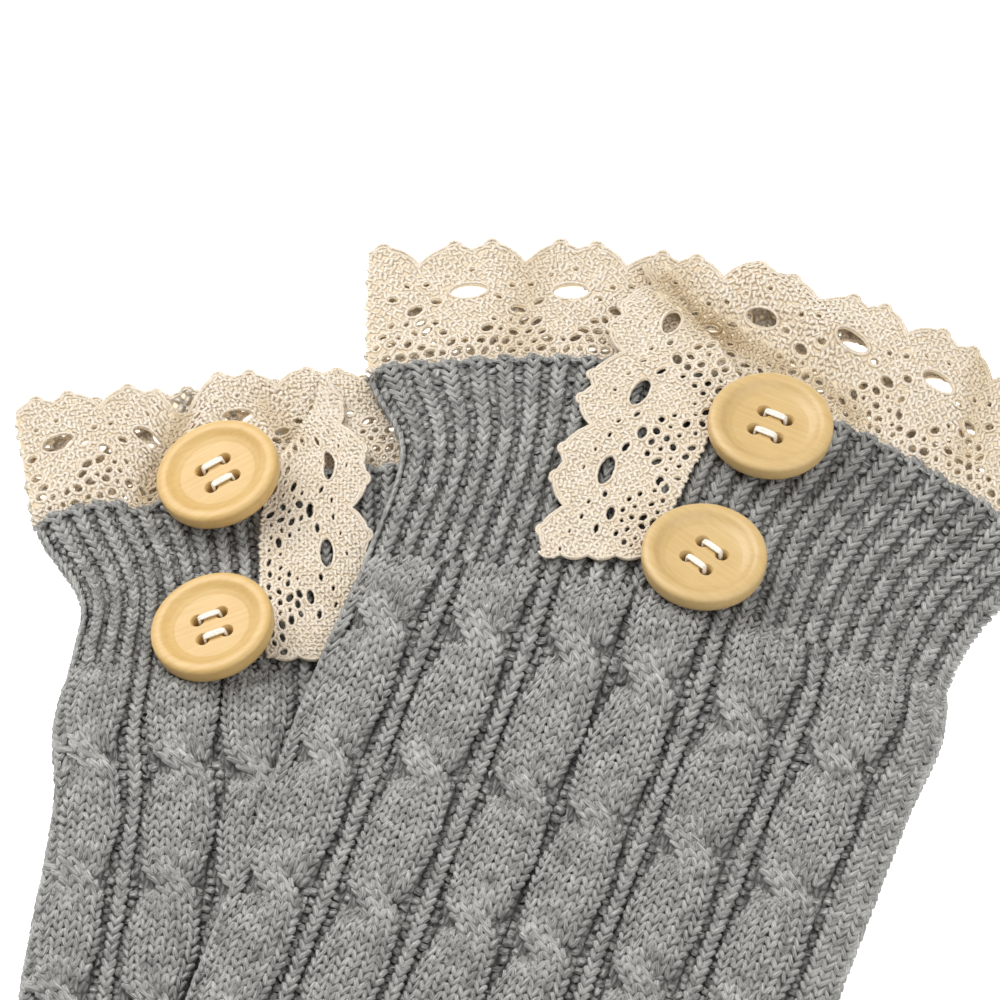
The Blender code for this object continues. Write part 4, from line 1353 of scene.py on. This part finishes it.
def lace_sheet(name, lace, holes, material):
    """A strip of lace cut through at its holes, and those of the holes that lie inside it."""
    reach = HOLE_OFF_ENDS * holes[:, 2]
    inside = holes[:, 0] - reach > lace.start(holes[:, 1])
    inside &= holes[:, 0] + reach < lace.end(holes[:, 1])
    cut = holes[inside & (holes[:, 1] > holes[:, 3] * HOLE_OFF_SEAM[0] + HOLE_OFF_SEAM[1])]
    outline = lace_outline(lace)
    total = len(outline)
    points, edges = [outline], [(k, (k + 1) % total) for k in range(total)]
    for hole in cut:
        corners = EYELET_CORNERS if hole[2] > EYELET_LEAST else HOLE_CORNERS
        points.append(hole_rim(hole, 0.0, 2 * math.pi * (np.arange(corners) + 0.5) / corners))
        edges += [(total + k, total + (k + 1) % corners) for k in range(corners)]
        total += corners
    points.append(lace_points(lace, cut))
    flat = [Vector(point) for point in np.concatenate(points)]
    verts, _, triangles, _, _, _ = delaunay_2d_cdt(flat, edges, [], 1, 1e-4)
    verts, triangles = np.array([tuple(point) for point in verts]), np.array(triangles)
    triangles = triangles[hole_reach(verts[triangles].mean(1), cut) > -CUT_INSIDE]
    used = np.unique(triangles)
    renumber = np.full(len(verts), -1)
    renumber[used] = np.arange(len(used))
    triangles, verts = renumber[triangles], verts[used]
    over = lace.place(verts[:, 0], verts[:, 1]) + (0.0, 0.0, LACE_THICK - THREAD_SINK)
    under = over - (0.0, 0.0, SHEET_THICK)
    count = len(verts)
    faces = (triangles + count).tolist() + triangles[:, ::-1].tolist()
    edge = np.concatenate([triangles[:, [a, b]] for a, b in ((0, 1), (1, 2), (2, 0))])
    _, first, uses = np.unique(np.sort(edge, 1), axis=0, return_index=True, return_counts=True)
    for a, b in edge[first[uses == 1]].tolist():
        faces.append((b + count, a + count, a, b))
    mesh = mesh_from(name, to_metres(np.concatenate((under, over))), faces)
    return link_object(name, mesh, (material,)), cut


def rim_spots(lace, cut):
    """Places and directions of the cords that run round every hole and along the scallops."""
    spots, ways = [], []
    for hole in cut:
        long, high, lean = hole[2:]
        # An ellipse's circumference, closely enough
        around = math.pi * (1.5 * (long + high) / 2 - math.sqrt(long * high) / 2)
        count = max(RIM_LEAST, round(around / RIM_STEP))
        angle = 2 * math.pi * np.arange(count) / count
        spots.append(hole_rim(hole, RIM_OUT, angle))
        dx, dy = -(long / 2 + RIM_OUT) * np.sin(angle), (high / 2 + RIM_OUT) * np.cos(angle)
        ways.append(np.arctan2(dx * math.sin(lean) + dy * math.cos(lean),
                               dx * math.cos(lean) - dy * math.sin(lean)))
    low = float(lace.start(LACE_WIDE)) + EDGE_CORD_STOP
    high = float(lace.end(LACE_WIDE)) - EDGE_CORD_STOP
    walk = np.arange(low, high, EDGE_CORD_STEP)
    edge = scallop(walk - lace.middles[0]) - EDGE_CORD_IN
    slope = np.gradient(edge, walk)
    length = np.concatenate(((0.0,), np.cumsum(np.hypot(np.diff(walk), np.diff(edge)))))
    for inward in (0.0, SECOND_CORD_IN):
        steps = np.arange(inward / 2, length[-1], RIM_STEP)
        along = np.interp(steps, length, walk)
        spots.append(np.stack((along, np.interp(steps, length, edge) - inward), -1))
        ways.append(np.arctan(np.interp(steps, length, slope)))
    across = np.arange(END_CORD_FIRST, END_CORD_LAST, RIM_STEP)
    spots.append(np.stack((lace.end(across) - EDGE_CORD_IN, across), -1))
    ways.append(np.arctan2(np.ones(len(across)), np.gradient(lace.end(across), across)))
    return np.concatenate(spots), np.concatenate(ways)


def cloth_spots(lace, cut, pitch, rng):
    """Places and directions of the crossed floats of the dense parts, kept off the rims."""
    low, high = float(lace.start(0.0)) - LACE_WIDE, float(lace.end(0.0)) + LACE_WIDE
    grid = np.meshgrid(np.arange(low, high, pitch), np.arange(0.3, LACE_WIDE + 0.8, pitch))
    grid = np.stack(grid, -1)
    parity = (np.add.outer(np.arange(grid.shape[0]), np.arange(grid.shape[1])) % 2).ravel()
    spots = grid.reshape(-1, 2) + rng.normal(0.0, CLOTH_PLACE_JITTER * pitch, (parity.size, 2))
    along, across = spots.T
    keep = (along > lace.start(across) + CLOTH_OFF_ENDS) & (along < lace.end(across) - CLOTH_OFF_ENDS)
    keep &= across < scallop(along - lace.middles[0]) - CLOTH_OFF_TIPS
    keep &= hole_reach(spots, cut) > CLOTH_OFF_HOLES
    spots, parity = spots[keep], parity[keep]
    sway = CLOTH_SWAY * np.sin(2 * math.pi * (spots[:, 0] - lace.middles[0]) / LACE_PERIOD)
    sway = sway * np.clip(spots[:, 1] / CLOTH_SWAY_REACH, 0, 1)
    ways = np.where(parity == 1, CLOTH_SLANT, -CLOTH_SLANT) + sway
    return spots, ways + rng.normal(0.0, CLOTH_AIM_JITTER, len(spots))


def lace_threads(name, garment, lace, cut, material, is_back, rng):
    """Thread over a strip of lace: crossed floats in its dense parts, cords round its holes and edge.

    Threads in a trough of the front are darkened with painted shade. The back layer's are coarser, as it is
    seen less.
    """
    rims, rim_ways = rim_spots(lace, cut)
    inner, inner_ways = cloth_spots(lace, cut, lace.pitch, rng)
    spots, ways = np.concatenate((rims, inner)), np.concatenate((rim_ways, inner_ways))
    is_rim = np.arange(len(spots)) < len(rims)
    keep = (spots[:, 0] > lace.start(spots[:, 1])) & (spots[:, 0] < lace.end(spots[:, 1]))
    keep &= spots[:, 1] > 0
    spots, ways, is_rim = spots[keep], ways[keep], is_rim[keep]
    count = len(spots)
    step_x, step_y = np.cos(ways) * 0.5, np.sin(ways) * 0.5
    x, y = spots.T
    here = lace.place(x, y)
    along = lace.place(x + step_x, y + step_y) - lace.place(x - step_x, y - step_y)
    side = lace.place(x - step_y, y + step_x) - lace.place(x + step_y, y - step_x)
    up = np.cross(along, side)
    up = unit(up * np.sign(up[:, 2:3]))
    cloth_length = CLOTH_THREAD_LONG * lace.pitch * rng.uniform(*CLOTH_THREAD_SPAN, count)
    length = np.where(is_rim, RIM_LONG * RIM_STEP, cloth_length) * np.linalg.norm(along, axis=-1)
    wide = np.where(is_rim, RIM_WIDE, CLOTH_THREAD_WIDE * lace.pitch)
    wide = wide * rng.normal(1.0, THREAD_WIDE_JITTER, count)
    size = np.stack((length, wide, np.where(is_rim, RIM_THICK, CLOTH_THREAD_THICK)), -1)
    middle = here + up * (LACE_THICK - THREAD_SINK + rng.normal(0.0, THREAD_LIFT_JITTER, (count, 1)))
    shades = rng.random(count)
    if not is_back:
        # Painted shade: threads in a trough of the front are darkened by its depth
        hollow = np.maximum(-crease_lift(garment, here[:, 0], here[:, 1]), 0.0)
        shades = shades - TROUGH_SHADE * hollow
    floats = Floats(middle, along, up, size)
    return lay_floats(name, floats, shades, material, sides=3 if is_back else 4, bend=0.5)


def band_height(garment, x, y, v, is_front):
    """Underside of a lace band layer, as in the solids, with the soft waves of real lace."""
    height = rest_height(garment, x, y) + LACE_LIFT * (1 - smooth(-v / LACE_SETTLE))
    if is_front:
        wave = BAND_WAVE * np.sin(x / BAND_WAVE_LONG[0] + BAND_WAVE_SLANT[0] * y)
        wave = wave * np.cos(y / BAND_WAVE_LONG[1] - BAND_WAVE_SLANT[1] * x)
        lift = np.maximum(LACE_BILLOW + wave + crease_lift(garment, x, y), 0.0)
        height = height + LACE_THICK + INNER_GAP + lift * smooth((1.0 - v) / BILLOW_START)
    return height


def band_strip(garment, is_front, pitch):
    """How one layer of the lace band above the cuff is laid."""
    band = garment.band
    length = band.repeats * LACE_PERIOD
    first = band.front_eyelet if is_front else band.back_eyelet
    middles = LACE_PERIOD * (np.arange(-1, band.repeats + 1) + first)

    def place(along, across):
        v = -LACE_SEAM - across
        x, y = plan(garment, along / length, v, is_front)
        return np.stack((x, y, band_height(garment, x, y, v, is_front)), -1)

    return Strip(middles, lambda across: 0.0 * across, lambda across: length + 0.0 * across, place,
                 length, pitch)


def flap_root(garment, v):
    """u of the flap's straight edge at v."""
    flap = garment.flap
    return through_three(np.clip(v / flap.end_v, 0.0, 1.0), flap.top_u, flap.mid_u, flap.end_u)


def flap_wide(garment, v):
    """Width of the flap at v."""
    flap = garment.flap
    return through_three((v + LACE_WIDE) / (flap.end_v + LACE_WIDE), *flap.wides)


def corner_cut(across, deep, start, long):
    """How far a rounded corner is cut back, from a distance across on."""
    return deep * np.clip((across - start) / long, 0.0, CORNER_MOST) ** 2


def flap_strip(garment, pitch):
    """How the turned-down flap is laid: mitred at its top, scallops away from the buttons."""
    flap = garment.flap
    stretch = flap.period / LACE_PERIOD
    first = (flap.eyelet_v + LACE_WIDE) / stretch
    middles = first + LACE_PERIOD * np.arange(-2, 4)

    def place(along, across):
        v = along * stretch - LACE_WIDE
        reach = across * flap_wide(garment, v) / LACE_WIDE
        u = flap_root(garment, v) + flap.side * reach / width_at(garment, v)
        x, y = plan(garment, u, v)
        over_lace = band_height(garment, x, y, v, True) + LACE_THICK
        over_knit = rest_height(garment, x, y) + TUBE_THICK + RIB_RAISE
        over_knit = over_knit + np.maximum(crease_lift(garment, x, y), 0.0)
        wave = np.sin(along / FLAP_WAVE_LONG[0]) * np.cos(across / FLAP_WAVE_LONG[1])
        step = (over_knit - over_lace) * smooth((v - FLAP_STEP_START) / FLAP_STEP_LONG)
        low = GAP + over_lace + step + FLAP_WAVE * (1 + wave)
        return np.stack((x, y, low), -1)

    def end(across):
        """The cut end: slanted, with a row of bumps and a rounded outer corner."""
        slant = (flap.outer_end_v - flap.end_v) * across / LACE_WIDE
        bumps = END_BUMP * np.abs(np.sin(math.pi * (across - 1.0) / END_BUMP_LONG)) ** END_BUMP_POWER - 1.0
        return (flap.end_v + LACE_WIDE + slant + bumps - corner_cut(across, *END_CORNER)) / stretch

    def start(across):
        """The mitre at the cuff's edge, rounded at its outer corner."""
        return (LACE_WIDE - across + corner_cut(across, *MITRE_CORNER)) / stretch

    return Strip(middles, start, end, place, (flap.end_v + LACE_WIDE) / stretch, pitch)


def lace_material(name, deep, pale):
    """Cotton lace, worked in ecru thread: matt and slightly hairy, with soft shade in its crossings.

    A negative shade attribute tones it down to a warm brown: painted shade, as in the depth of a fold.
    """
    material, tree = new_material(name)
    shade = add(tree, "ShaderNodeAttribute", attribute_name="shade")
    place = add(tree, "ShaderNodeTexCoord")
    plies = add(tree, "ShaderNodeTexNoise",
                {"Vector": place.outputs["Object"], "Scale": COTTON_PLY_SCALE, "Detail": 2.0})
    cloud = add(tree, "ShaderNodeTexNoise",
                {"Vector": place.outputs["Object"], "Scale": COTTON_PATCH_SCALE, "Detail": 2.0})
    mixed = add(tree, "ShaderNodeMath", {0: plies.outputs["Fac"], 1: PLY_SHARE}, operation="MULTIPLY")
    both = add(tree, "ShaderNodeMath",
               {0: cloud.outputs["Fac"], 1: 1 - PLY_SHARE, 2: mixed.outputs[0]},
               operation="MULTIPLY_ADD")
    ramp = add(tree, "ShaderNodeValToRGB", {"Fac": both.outputs[0]})
    for stop, position, colour in zip(ramp.color_ramp.elements, (0.35, 0.62), (deep, pale)):
        stop.position, stop.color = position, linear(colour)
    tone = add(tree, "ShaderNodeMath",
               {0: shade.outputs["Fac"], 1: COTTON_TONE_SPAN, 2: COTTON_TONE_LEAST},
               operation="MULTIPLY_ADD")
    warm = [add(tree, "ShaderNodeMath", {0: tone.outputs[0], 1: power}, operation="POWER").outputs[0]
            for power in WARM_POWERS]
    tint = add(tree, "ShaderNodeCombineXYZ", {"X": warm[0], "Y": warm[1], "Z": warm[2]})
    toned = add(tree, "ShaderNodeVectorMath", {0: ramp.outputs["Color"], 1: tint.outputs[0]},
                operation="MULTIPLY")
    relief = add(tree, "ShaderNodeBump",
                 {"Height": plies.outputs["Fac"], "Strength": 0.6, "Distance": 0.3 * MM})
    finish_material(tree, {"Base Color": toned.outputs[0], "Roughness": 0.9, "Specular IOR Level": 0.25,
                           "Normal": relief.outputs["Normal"], "Sheen Weight": 0.1,
                           "Subsurface Weight": 0.2, "Subsurface Radius": (1.0, 0.8, 0.6),
                           "Subsurface Scale": 1.5 * MM})
    return material


class LaceSizes(bpy.types.PropertyGroup):
    """Thread and colours of the lace."""
    thread_pitch: FloatProperty(
        name="Thread pitch", description="Distance between thread floats, in mm", default=1.12)
    back_pitch: FloatProperty(
        name="Back thread pitch", description="The same in the back layer, in mm", default=2.25)
    # The shaded ecru is painted shade for the cloth between the threads
    shade_hex: StringProperty(
        name="Shaded ecru", description="sRGB hex of the lace between its threads", default="#E0CCAE")
    deep_hex: StringProperty(
        name="Deep ecru", description="sRGB hex of the lace's shade", default="#E4D2B7")
    pale_hex: StringProperty(
        name="Pale ecru", description="sRGB hex of the lace's light", default="#EBDCC7")


class LEGWARMER_OT_lace(bpy.types.Operator):
    """Build the lace bands round the cuffs and the turned-down flaps"""
    bl_idname = "legwarmer.lace"
    bl_label = "Cotton lace"

    def execute(self, context):
        sizes = context.scene.legwarmer_lace
        cotton = lace_material("ecru_cotton_thread", sizes.deep_hex, sizes.pale_hex)
        # The cloth under the threads is a darker copy of the cotton: painted shade between the threads and on
        # the holes' walls
        ground = lace_material("ecru_cotton_cloth_stitch", sizes.shade_hex, sizes.deep_hex)
        # A paler copy of the cotton for the back layer: painted light, which lifts it where the front layer
        # shades it
        lower = lace_material("ecru_cotton_lower_layer", "#F3E2C8", "#FFF2DF")
        for garment in GARMENTS:
            rng = np.random.default_rng(garment.seed + 100)
            back, front, flap = (garment.name + part for part in ("_lace_back", "_lace_front", "_lace_flap"))
            for name, lace, under, held in (
                    (back, band_strip(garment, False, sizes.back_pitch), "floor", "laid"),
                    (front, band_strip(garment, True, sizes.thread_pitch), back + "_cloth", "laid"),
                    (flap, flap_strip(garment, sizes.thread_pitch), garment.name + "_knit_ground",
                     "folded")):
                is_back = name == back
                holes = lace_holes(lace.middles, BACK_WIDER * is_back,
                                   garment.band.closed if is_back else (), rng)
                sheet, cut = lace_sheet(name + "_cloth", lace, holes, lower if is_back else ground)
                threads = lace_threads(name + "_threads", garment, lace, cut,
                                       lower if is_back else cotton, is_back, rng)
                for piece in (sheet, threads):
                    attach(piece, "root")
                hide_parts(name)
        return {"FINISHED"}


# A button's half section: distance from its middle and height, from underneath over the rim to the recess
BUTTON_PROFILE = (
    (0.0, 0.0), (6.0, 0.0), (12.0, 0.0), (13.2, 0.45), (13.85, 1.2), (14.0, 2.0), (14.0, 3.75),
    (13.9, 4.25), (13.6, 4.65), (13.1, 4.88), (12.4, 5.0), (11.7, 4.97), (11.2, 4.78), (10.7, 4.4),
    (10.1, 3.98), (9.5, 3.72), (9.05, 3.62), (8.8, 3.48), (8.4, 3.4), (6.0, RECESS_HEIGHT),
    (0.0, RECESS_HEIGHT),
)


def turned(profile, sides, centre=(0.0, 0.0)):
    """Places and faces of a closed turned shape, from its middle underneath to its middle on top."""
    places, faces, rings = [], [], []
    for distance, height in profile:
        count = sides if distance else 1
        rings.append([len(places) + k for k in range(count)])
        for k in range(count):
            angle = 2 * math.pi * k / sides
            places.append((centre[0] + distance * math.cos(angle),
                           centre[1] + distance * math.sin(angle), height))
    for low, high in zip(rings, rings[1:]):
        for k in range(sides):
            after = (k + 1) % sides
            corners = [low[k % len(low)], low[after % len(low)], high[after % len(high)],
                       high[k % len(high)]]
            faces.append(tuple(dict.fromkeys(corners)))
    return np.array(places), faces


def tube_along(line, radius, sides):
    """Places and faces of a round tube along a line, closed at both ends."""
    line = np.asarray(line)
    ahead = unit(np.gradient(line, axis=0))
    side = unit(np.cross(ahead, (0.0, 0.0, 1.0)) + 1e-9)
    up = np.cross(side, ahead)
    angle = 2 * math.pi * np.arange(sides) / sides
    rings = (line[:, None] + radius * (np.cos(angle)[None, :, None] * side[:, None]
             + np.sin(angle)[None, :, None] * up[:, None]))
    faces = []
    for r in range(len(line) - 1):
        for k in range(sides):
            after = (k + 1) % sides
            faces.append((r * sides + k, r * sides + after, (r + 1) * sides + after, (r + 1) * sides + k))
    faces.append(tuple(range(sides))[::-1])
    faces.append(tuple((len(line) - 1) * sides + k for k in range(sides)))
    return rings.reshape(-1, 3), faces


def button_place(button):
    """Matrix that lays a button, in millimetres about its underside's middle, in the world's metres."""
    lean, turn = math.radians(button.lean), math.radians(button.turn)
    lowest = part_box(button.node)[0].z / MM
    rest = lowest + BUTTON_BASE_RADIUS * abs(math.sin(lean))
    spot = Vector((button.x - BUTTON_THICK * math.sin(lean) - CENTRE[0], button.y - CENTRE[1], rest))
    leant = Matrix.Scale(MM, 4) @ Matrix.Translation(spot) @ Matrix.Rotation(lean, 4, "Y")
    return leant @ Matrix.Rotation(turn, 4, "Z")


def button_material(name, deep, pale):
    """Boxwood, turned and lacquered: pale honey wood with faint grain under a soft gloss."""
    material, tree = new_material(name)
    grain = add(tree, "ShaderNodeAttribute", attribute_name="grain")
    stretched = add(tree, "ShaderNodeVectorMath", {0: grain.outputs["Vector"], 1: GRAIN_STRETCH},
                    operation="MULTIPLY")
    streaks = add(tree, "ShaderNodeTexNoise",
                  {"Vector": stretched.outputs[0], "Scale": GRAIN_SCALE, "Detail": 4.0})
    cloud = add(tree, "ShaderNodeTexNoise",
                {"Vector": grain.outputs["Vector"], "Scale": WOOD_PATCH_SCALE, "Detail": 2.0})
    both = add(tree, "ShaderNodeMath",
               {0: cloud.outputs["Fac"], 1: WOOD_PATCH_SHARE, 2: streaks.outputs["Fac"]},
               operation="MULTIPLY_ADD")
    ramp = add(tree, "ShaderNodeValToRGB", {"Fac": both.outputs[0]})
    for stop, position, colour in zip(ramp.color_ramp.elements, (0.55, 0.95), (deep, pale)):
        stop.position, stop.color = position, linear(colour)
    relief = add(tree, "ShaderNodeBump",
                 {"Height": streaks.outputs["Fac"], "Strength": 0.04, "Distance": 0.2 * MM})
    finish_material(tree, {"Base Color": ramp.outputs["Color"], "Roughness": 0.42,
                           "Normal": relief.outputs["Normal"], "Coat Weight": 0.12,
                           "Coat Roughness": 0.25, "IOR": 1.5})
    return material


def thread_material():
    """Polyester sewing thread, twisted and white: smooth plies with a slight sheen."""
    material, tree = new_material("white_sewing_thread")
    place = add(tree, "ShaderNodeTexCoord")
    plies = add(tree, "ShaderNodeTexNoise",
                {"Vector": place.outputs["Object"], "Scale": SEWING_PLY_SCALE})
    ramp = add(tree, "ShaderNodeValToRGB", {"Fac": plies.outputs["Fac"]})
    for stop, position, colour in zip(ramp.color_ramp.elements, (0.3, 0.7), ("#DED5C6", "#FBF8F1")):
        stop.position, stop.color = position, linear(colour)
    relief = add(tree, "ShaderNodeBump",
                 {"Height": plies.outputs["Fac"], "Strength": 0.5, "Distance": 0.2 * MM})
    finish_material(tree, {"Base Color": ramp.outputs["Color"], "Roughness": 0.6,
                           "Normal": relief.outputs["Normal"]})
    return material


class ButtonSizes(bpy.types.PropertyGroup):
    """Sizes of the buttons' holes and threads."""
    hole_wide: FloatProperty(name="Hole", description="Diameter of a thread hole, in mm", default=2.6)
    strand_count: IntProperty(name="Strands", description="Strands in one thread stitch", default=3)
    strand_radius: FloatProperty(
        name="Strand radius", description="Radius of one strand, in mm", default=0.34)


def build_button(button, sizes, material):
    """A turned button with four countersunk holes."""
    places, faces = turned(BUTTON_PROFILE, BUTTON_SIDES)
    name = button.node + "_wood"
    body = link_object(name, mesh_from(name, places, faces), (material,))
    drill_places, drill_faces = [], []
    radius = sizes.hole_wide / 2
    mouth = radius + COUNTERSINK
    drill = ((0.0, -DRILL_PAST), (radius, -DRILL_PAST), (radius, RECESS_HEIGHT - COUNTERSINK_DEEP),
             (mouth, RECESS_HEIGHT + COUNTERSINK_PAST), (mouth, RECESS_HEIGHT + DRILL_PAST),
             (0.0, RECESS_HEIGHT + DRILL_PAST))
    for side_x in (-1, 1):
        for side_y in (-1, 1):
            more, rings = turned(drill, HOLE_SIDES, (side_x * HOLE_PITCH / 2, side_y * HOLE_PITCH / 2))
            drill_faces += [tuple(k + len(drill_places) for k in face) for face in rings]
            drill_places += more.tolist()
    drills = link_object("drills", mesh_from("drills", np.array(drill_places), drill_faces))
    cut = body.modifiers.new("thread_holes", "BOOLEAN")
    cut.operation = "DIFFERENCE"
    cut.solver = "EXACT"
    cut.object = drills
    baked_object(body)
    bpy.data.objects.remove(drills, do_unlink=True)
    mesh = body.data
    local = np.empty(len(mesh.vertices) * 3, np.float32)
    mesh.vertices.foreach_get("co", local)
    mesh.attributes.new("grain", "FLOAT_VECTOR", "POINT").data.foreach_set("vector", local)
    mesh.transform(button_place(button))
    mesh.set_sharp_from_angle(angle=SHARP_ANGLE)
    return body


def build_button_threads(button, sizes, material, rng):
    """Two thread stitches of several strands over the recess and down the holes."""
    places, faces = [], []
    half = HOLE_PITCH / 2
    t = np.linspace(-1, 1, STRAND_POINTS)
    arch = np.cos(t * math.pi / 2)
    for side_y in (-1, 1):
        for k in range(sizes.strand_count):
            shift = (k - (sizes.strand_count - 1) / 2) * sizes.strand_radius * STRAND_PITCH
            x = half * np.sin(t * math.pi / 2) * STRAND_SPAN
            lift = RECESS_HEIGHT + THREAD_CLEAR + THREAD_ARCH * arch + STRAND_STEP * (k % 2)
            past = np.abs(t) - THREAD_TURN
            z = np.where(past > 0, lift - past * THREAD_PLUNGE, lift)
            y = side_y * half + shift * (STRAND_CLOSE + (1 - STRAND_CLOSE) * arch)
            y = y + rng.normal(0.0, STRAND_JITTER)
            more, rings = tube_along(np.stack((x, y, z), -1), sizes.strand_radius, STRAND_SIDES)
            faces += [tuple(n + len(places) for n in face) for face in rings]
            places += more.tolist()
    mesh = mesh_from(button.node + "_threads", np.array(places), faces)
    mesh.transform(button_place(button))
    return link_object(button.node + "_threads", mesh, (material,))


class LEGWARMER_OT_buttons(bpy.types.Operator):
    """Build the four turned buttons and the threads that hold them"""
    bl_idname = "legwarmer.buttons"
    bl_label = "Buttons"

    def execute(self, context):
        sizes = context.scene.legwarmer_buttons
        woods = {"left": button_material("honey_lacquered_boxwood", "#CAA465", "#D2B071"),
                 "right": button_material("pale_lacquered_boxwood", "#C6A56C", "#CEB079")}
        thread = thread_material()
        rng = np.random.default_rng(5)
        for button in BUTTONS:
            body = build_button(button, sizes, woods[button.node.split("_")[0]])
            strands = build_button_threads(button, sizes, thread, rng)
            for piece in (body, strands):
                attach(piece, "root")
            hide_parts(button.node)
        return {"FINISHED"}


class StageSizes(bpy.types.PropertyGroup):
    """Floor, lights and camera."""
    key_power: FloatProperty(
        name="Key light", description="Power of the main soft light", default=14.0, unit="POWER")
    fill_power: FloatProperty(
        name="Fill light", description="Power of the second soft light", default=12.0, unit="POWER")
    sky_strength: FloatProperty(
        name="Sky", description="Strength of the even light all round", default=0.37)
    lens: FloatProperty(
        name="Lens", description="Focal length; a long one keeps the view parallel", default=1500.0,
        unit="CAMERA")


class LEGWARMER_OT_stage(bpy.types.Operator):
    """Make the floor, the studio light and the camera"""
    bl_idname = "legwarmer.stage"
    bl_label = "Stage"

    def execute(self, context):
        sizes = context.scene.legwarmer_stage
        scene = context.scene
        # Uncoated paper, matt and white with a faint tooth. Its glow keeps it white in the soft light
        material, tree = new_material("white_paper_floor")
        place = add(tree, "ShaderNodeTexCoord")
        tooth = add(tree, "ShaderNodeTexNoise",
                    {"Vector": place.outputs["Object"], "Scale": PAPER_SCALE})
        relief = add(tree, "ShaderNodeBump",
                     {"Height": tooth.outputs["Fac"], "Strength": 0.05, "Distance": 0.1 * MM})
        finish_material(tree, {"Base Color": linear("#FCFCFC"), "Roughness": 0.9,
                               "Normal": relief.outputs["Normal"], "Emission Color": (1, 1, 1, 1),
                               "Emission Strength": FLOOR_GLOW})
        corners = [(x * FLOOR_HALF, y * FLOOR_HALF, -FLOOR_DROP)
                   for x, y in ((-1, -1), (1, -1), (1, 1), (-1, 1))]
        floor = link_object("floor", mesh_from("floor", np.array(corners), [(0, 1, 2, 3)]), (material,))
        for name, power, size, spot in (("key_light", sizes.key_power, 1.0, (-0.55, 0.6, 0.95)),
                                        ("fill_light", sizes.fill_power, 1.4, (0.7, -0.5, 1.0))):
            lamp = bpy.data.lights.new(name, "AREA")
            lamp.energy = power
            lamp.size = size
            light = bpy.data.objects.new(name, lamp)
            scene.collection.objects.link(light)
            light.location = spot
            light.rotation_euler = (-Vector(spot)).to_track_quat("-Z", "Y").to_euler()
        world = bpy.data.worlds.new("studio")
        scene.world = world
        world.use_nodes = True
        sky = world.node_tree.nodes["Background"].inputs
        sky["Color"].default_value = (1, 1, 1, 1)
        sky["Strength"].default_value = sizes.sky_strength
        scene.view_settings.view_transform = "Standard"
        data = bpy.data.cameras.new("camera")
        data.lens = sizes.lens
        data.sensor_width = SENSOR_WIDE
        distance = FRAME_WIDE * MM * sizes.lens / data.sensor_width
        tilt = math.radians(CAMERA_TILT)
        back = Vector((0.0, -math.cos(tilt), math.sin(tilt)))
        aim = Vector((-CENTRE[0] * MM, -CENTRE[1] * MM, 0.0))
        camera = bpy.data.objects.new("camera", data)
        scene.collection.objects.link(camera)
        camera.location = aim + back * distance
        camera.rotation_euler = (-back).to_track_quat("-Z", "Y").to_euler()
        data.clip_start, data.clip_end = 0.1, 100.0
        scene.camera = camera
        return {"FINISHED"}


class LEGWARMER_PT_panel(bpy.types.Panel):
    """Steps that dress the leg warmers"""
    bl_idname = "LEGWARMER_PT_panel"
    bl_label = "Leg warmers"
    bl_space_type = "VIEW_3D"
    bl_region_type = "UI"
    bl_category = "Leg warmers"

    def draw(self, context):
        groups = (("legwarmer_knit", "legwarmer.knit"), ("legwarmer_lace", "legwarmer.lace"),
                  ("legwarmer_buttons", "legwarmer.buttons"), ("legwarmer_stage", "legwarmer.stage"))
        for group, operator in groups:
            box = self.layout.box()
            settings = getattr(context.scene, group)
            for name in settings.__annotations__:
                box.prop(settings, name)
            box.operator(operator)


CLASSES = (KnitSizes, LaceSizes, ButtonSizes, StageSizes, LEGWARMER_OT_knit, LEGWARMER_OT_lace,
           LEGWARMER_OT_buttons, LEGWARMER_OT_stage, LEGWARMER_PT_panel)


def register():
    for cls in CLASSES:
        bpy.utils.register_class(cls)
    bpy.types.Scene.legwarmer_knit = PointerProperty(type=KnitSizes)
    bpy.types.Scene.legwarmer_lace = PointerProperty(type=LaceSizes)
    bpy.types.Scene.legwarmer_buttons = PointerProperty(type=ButtonSizes)
    bpy.types.Scene.legwarmer_stage = PointerProperty(type=StageSizes)


def unregister():
    for name in ("legwarmer_knit", "legwarmer_lace", "legwarmer_buttons", "legwarmer_stage"):
        delattr(bpy.types.Scene, name)
    for cls in reversed(CLASSES):
        bpy.utils.unregister_class(cls)


def main():
    """Dress the pair."""
    register()
    bpy.ops.legwarmer.stage()
    bpy.ops.legwarmer.knit()
    bpy.ops.legwarmer.lace()
    bpy.ops.legwarmer.buttons()


if __name__ == "__main__":
    main()
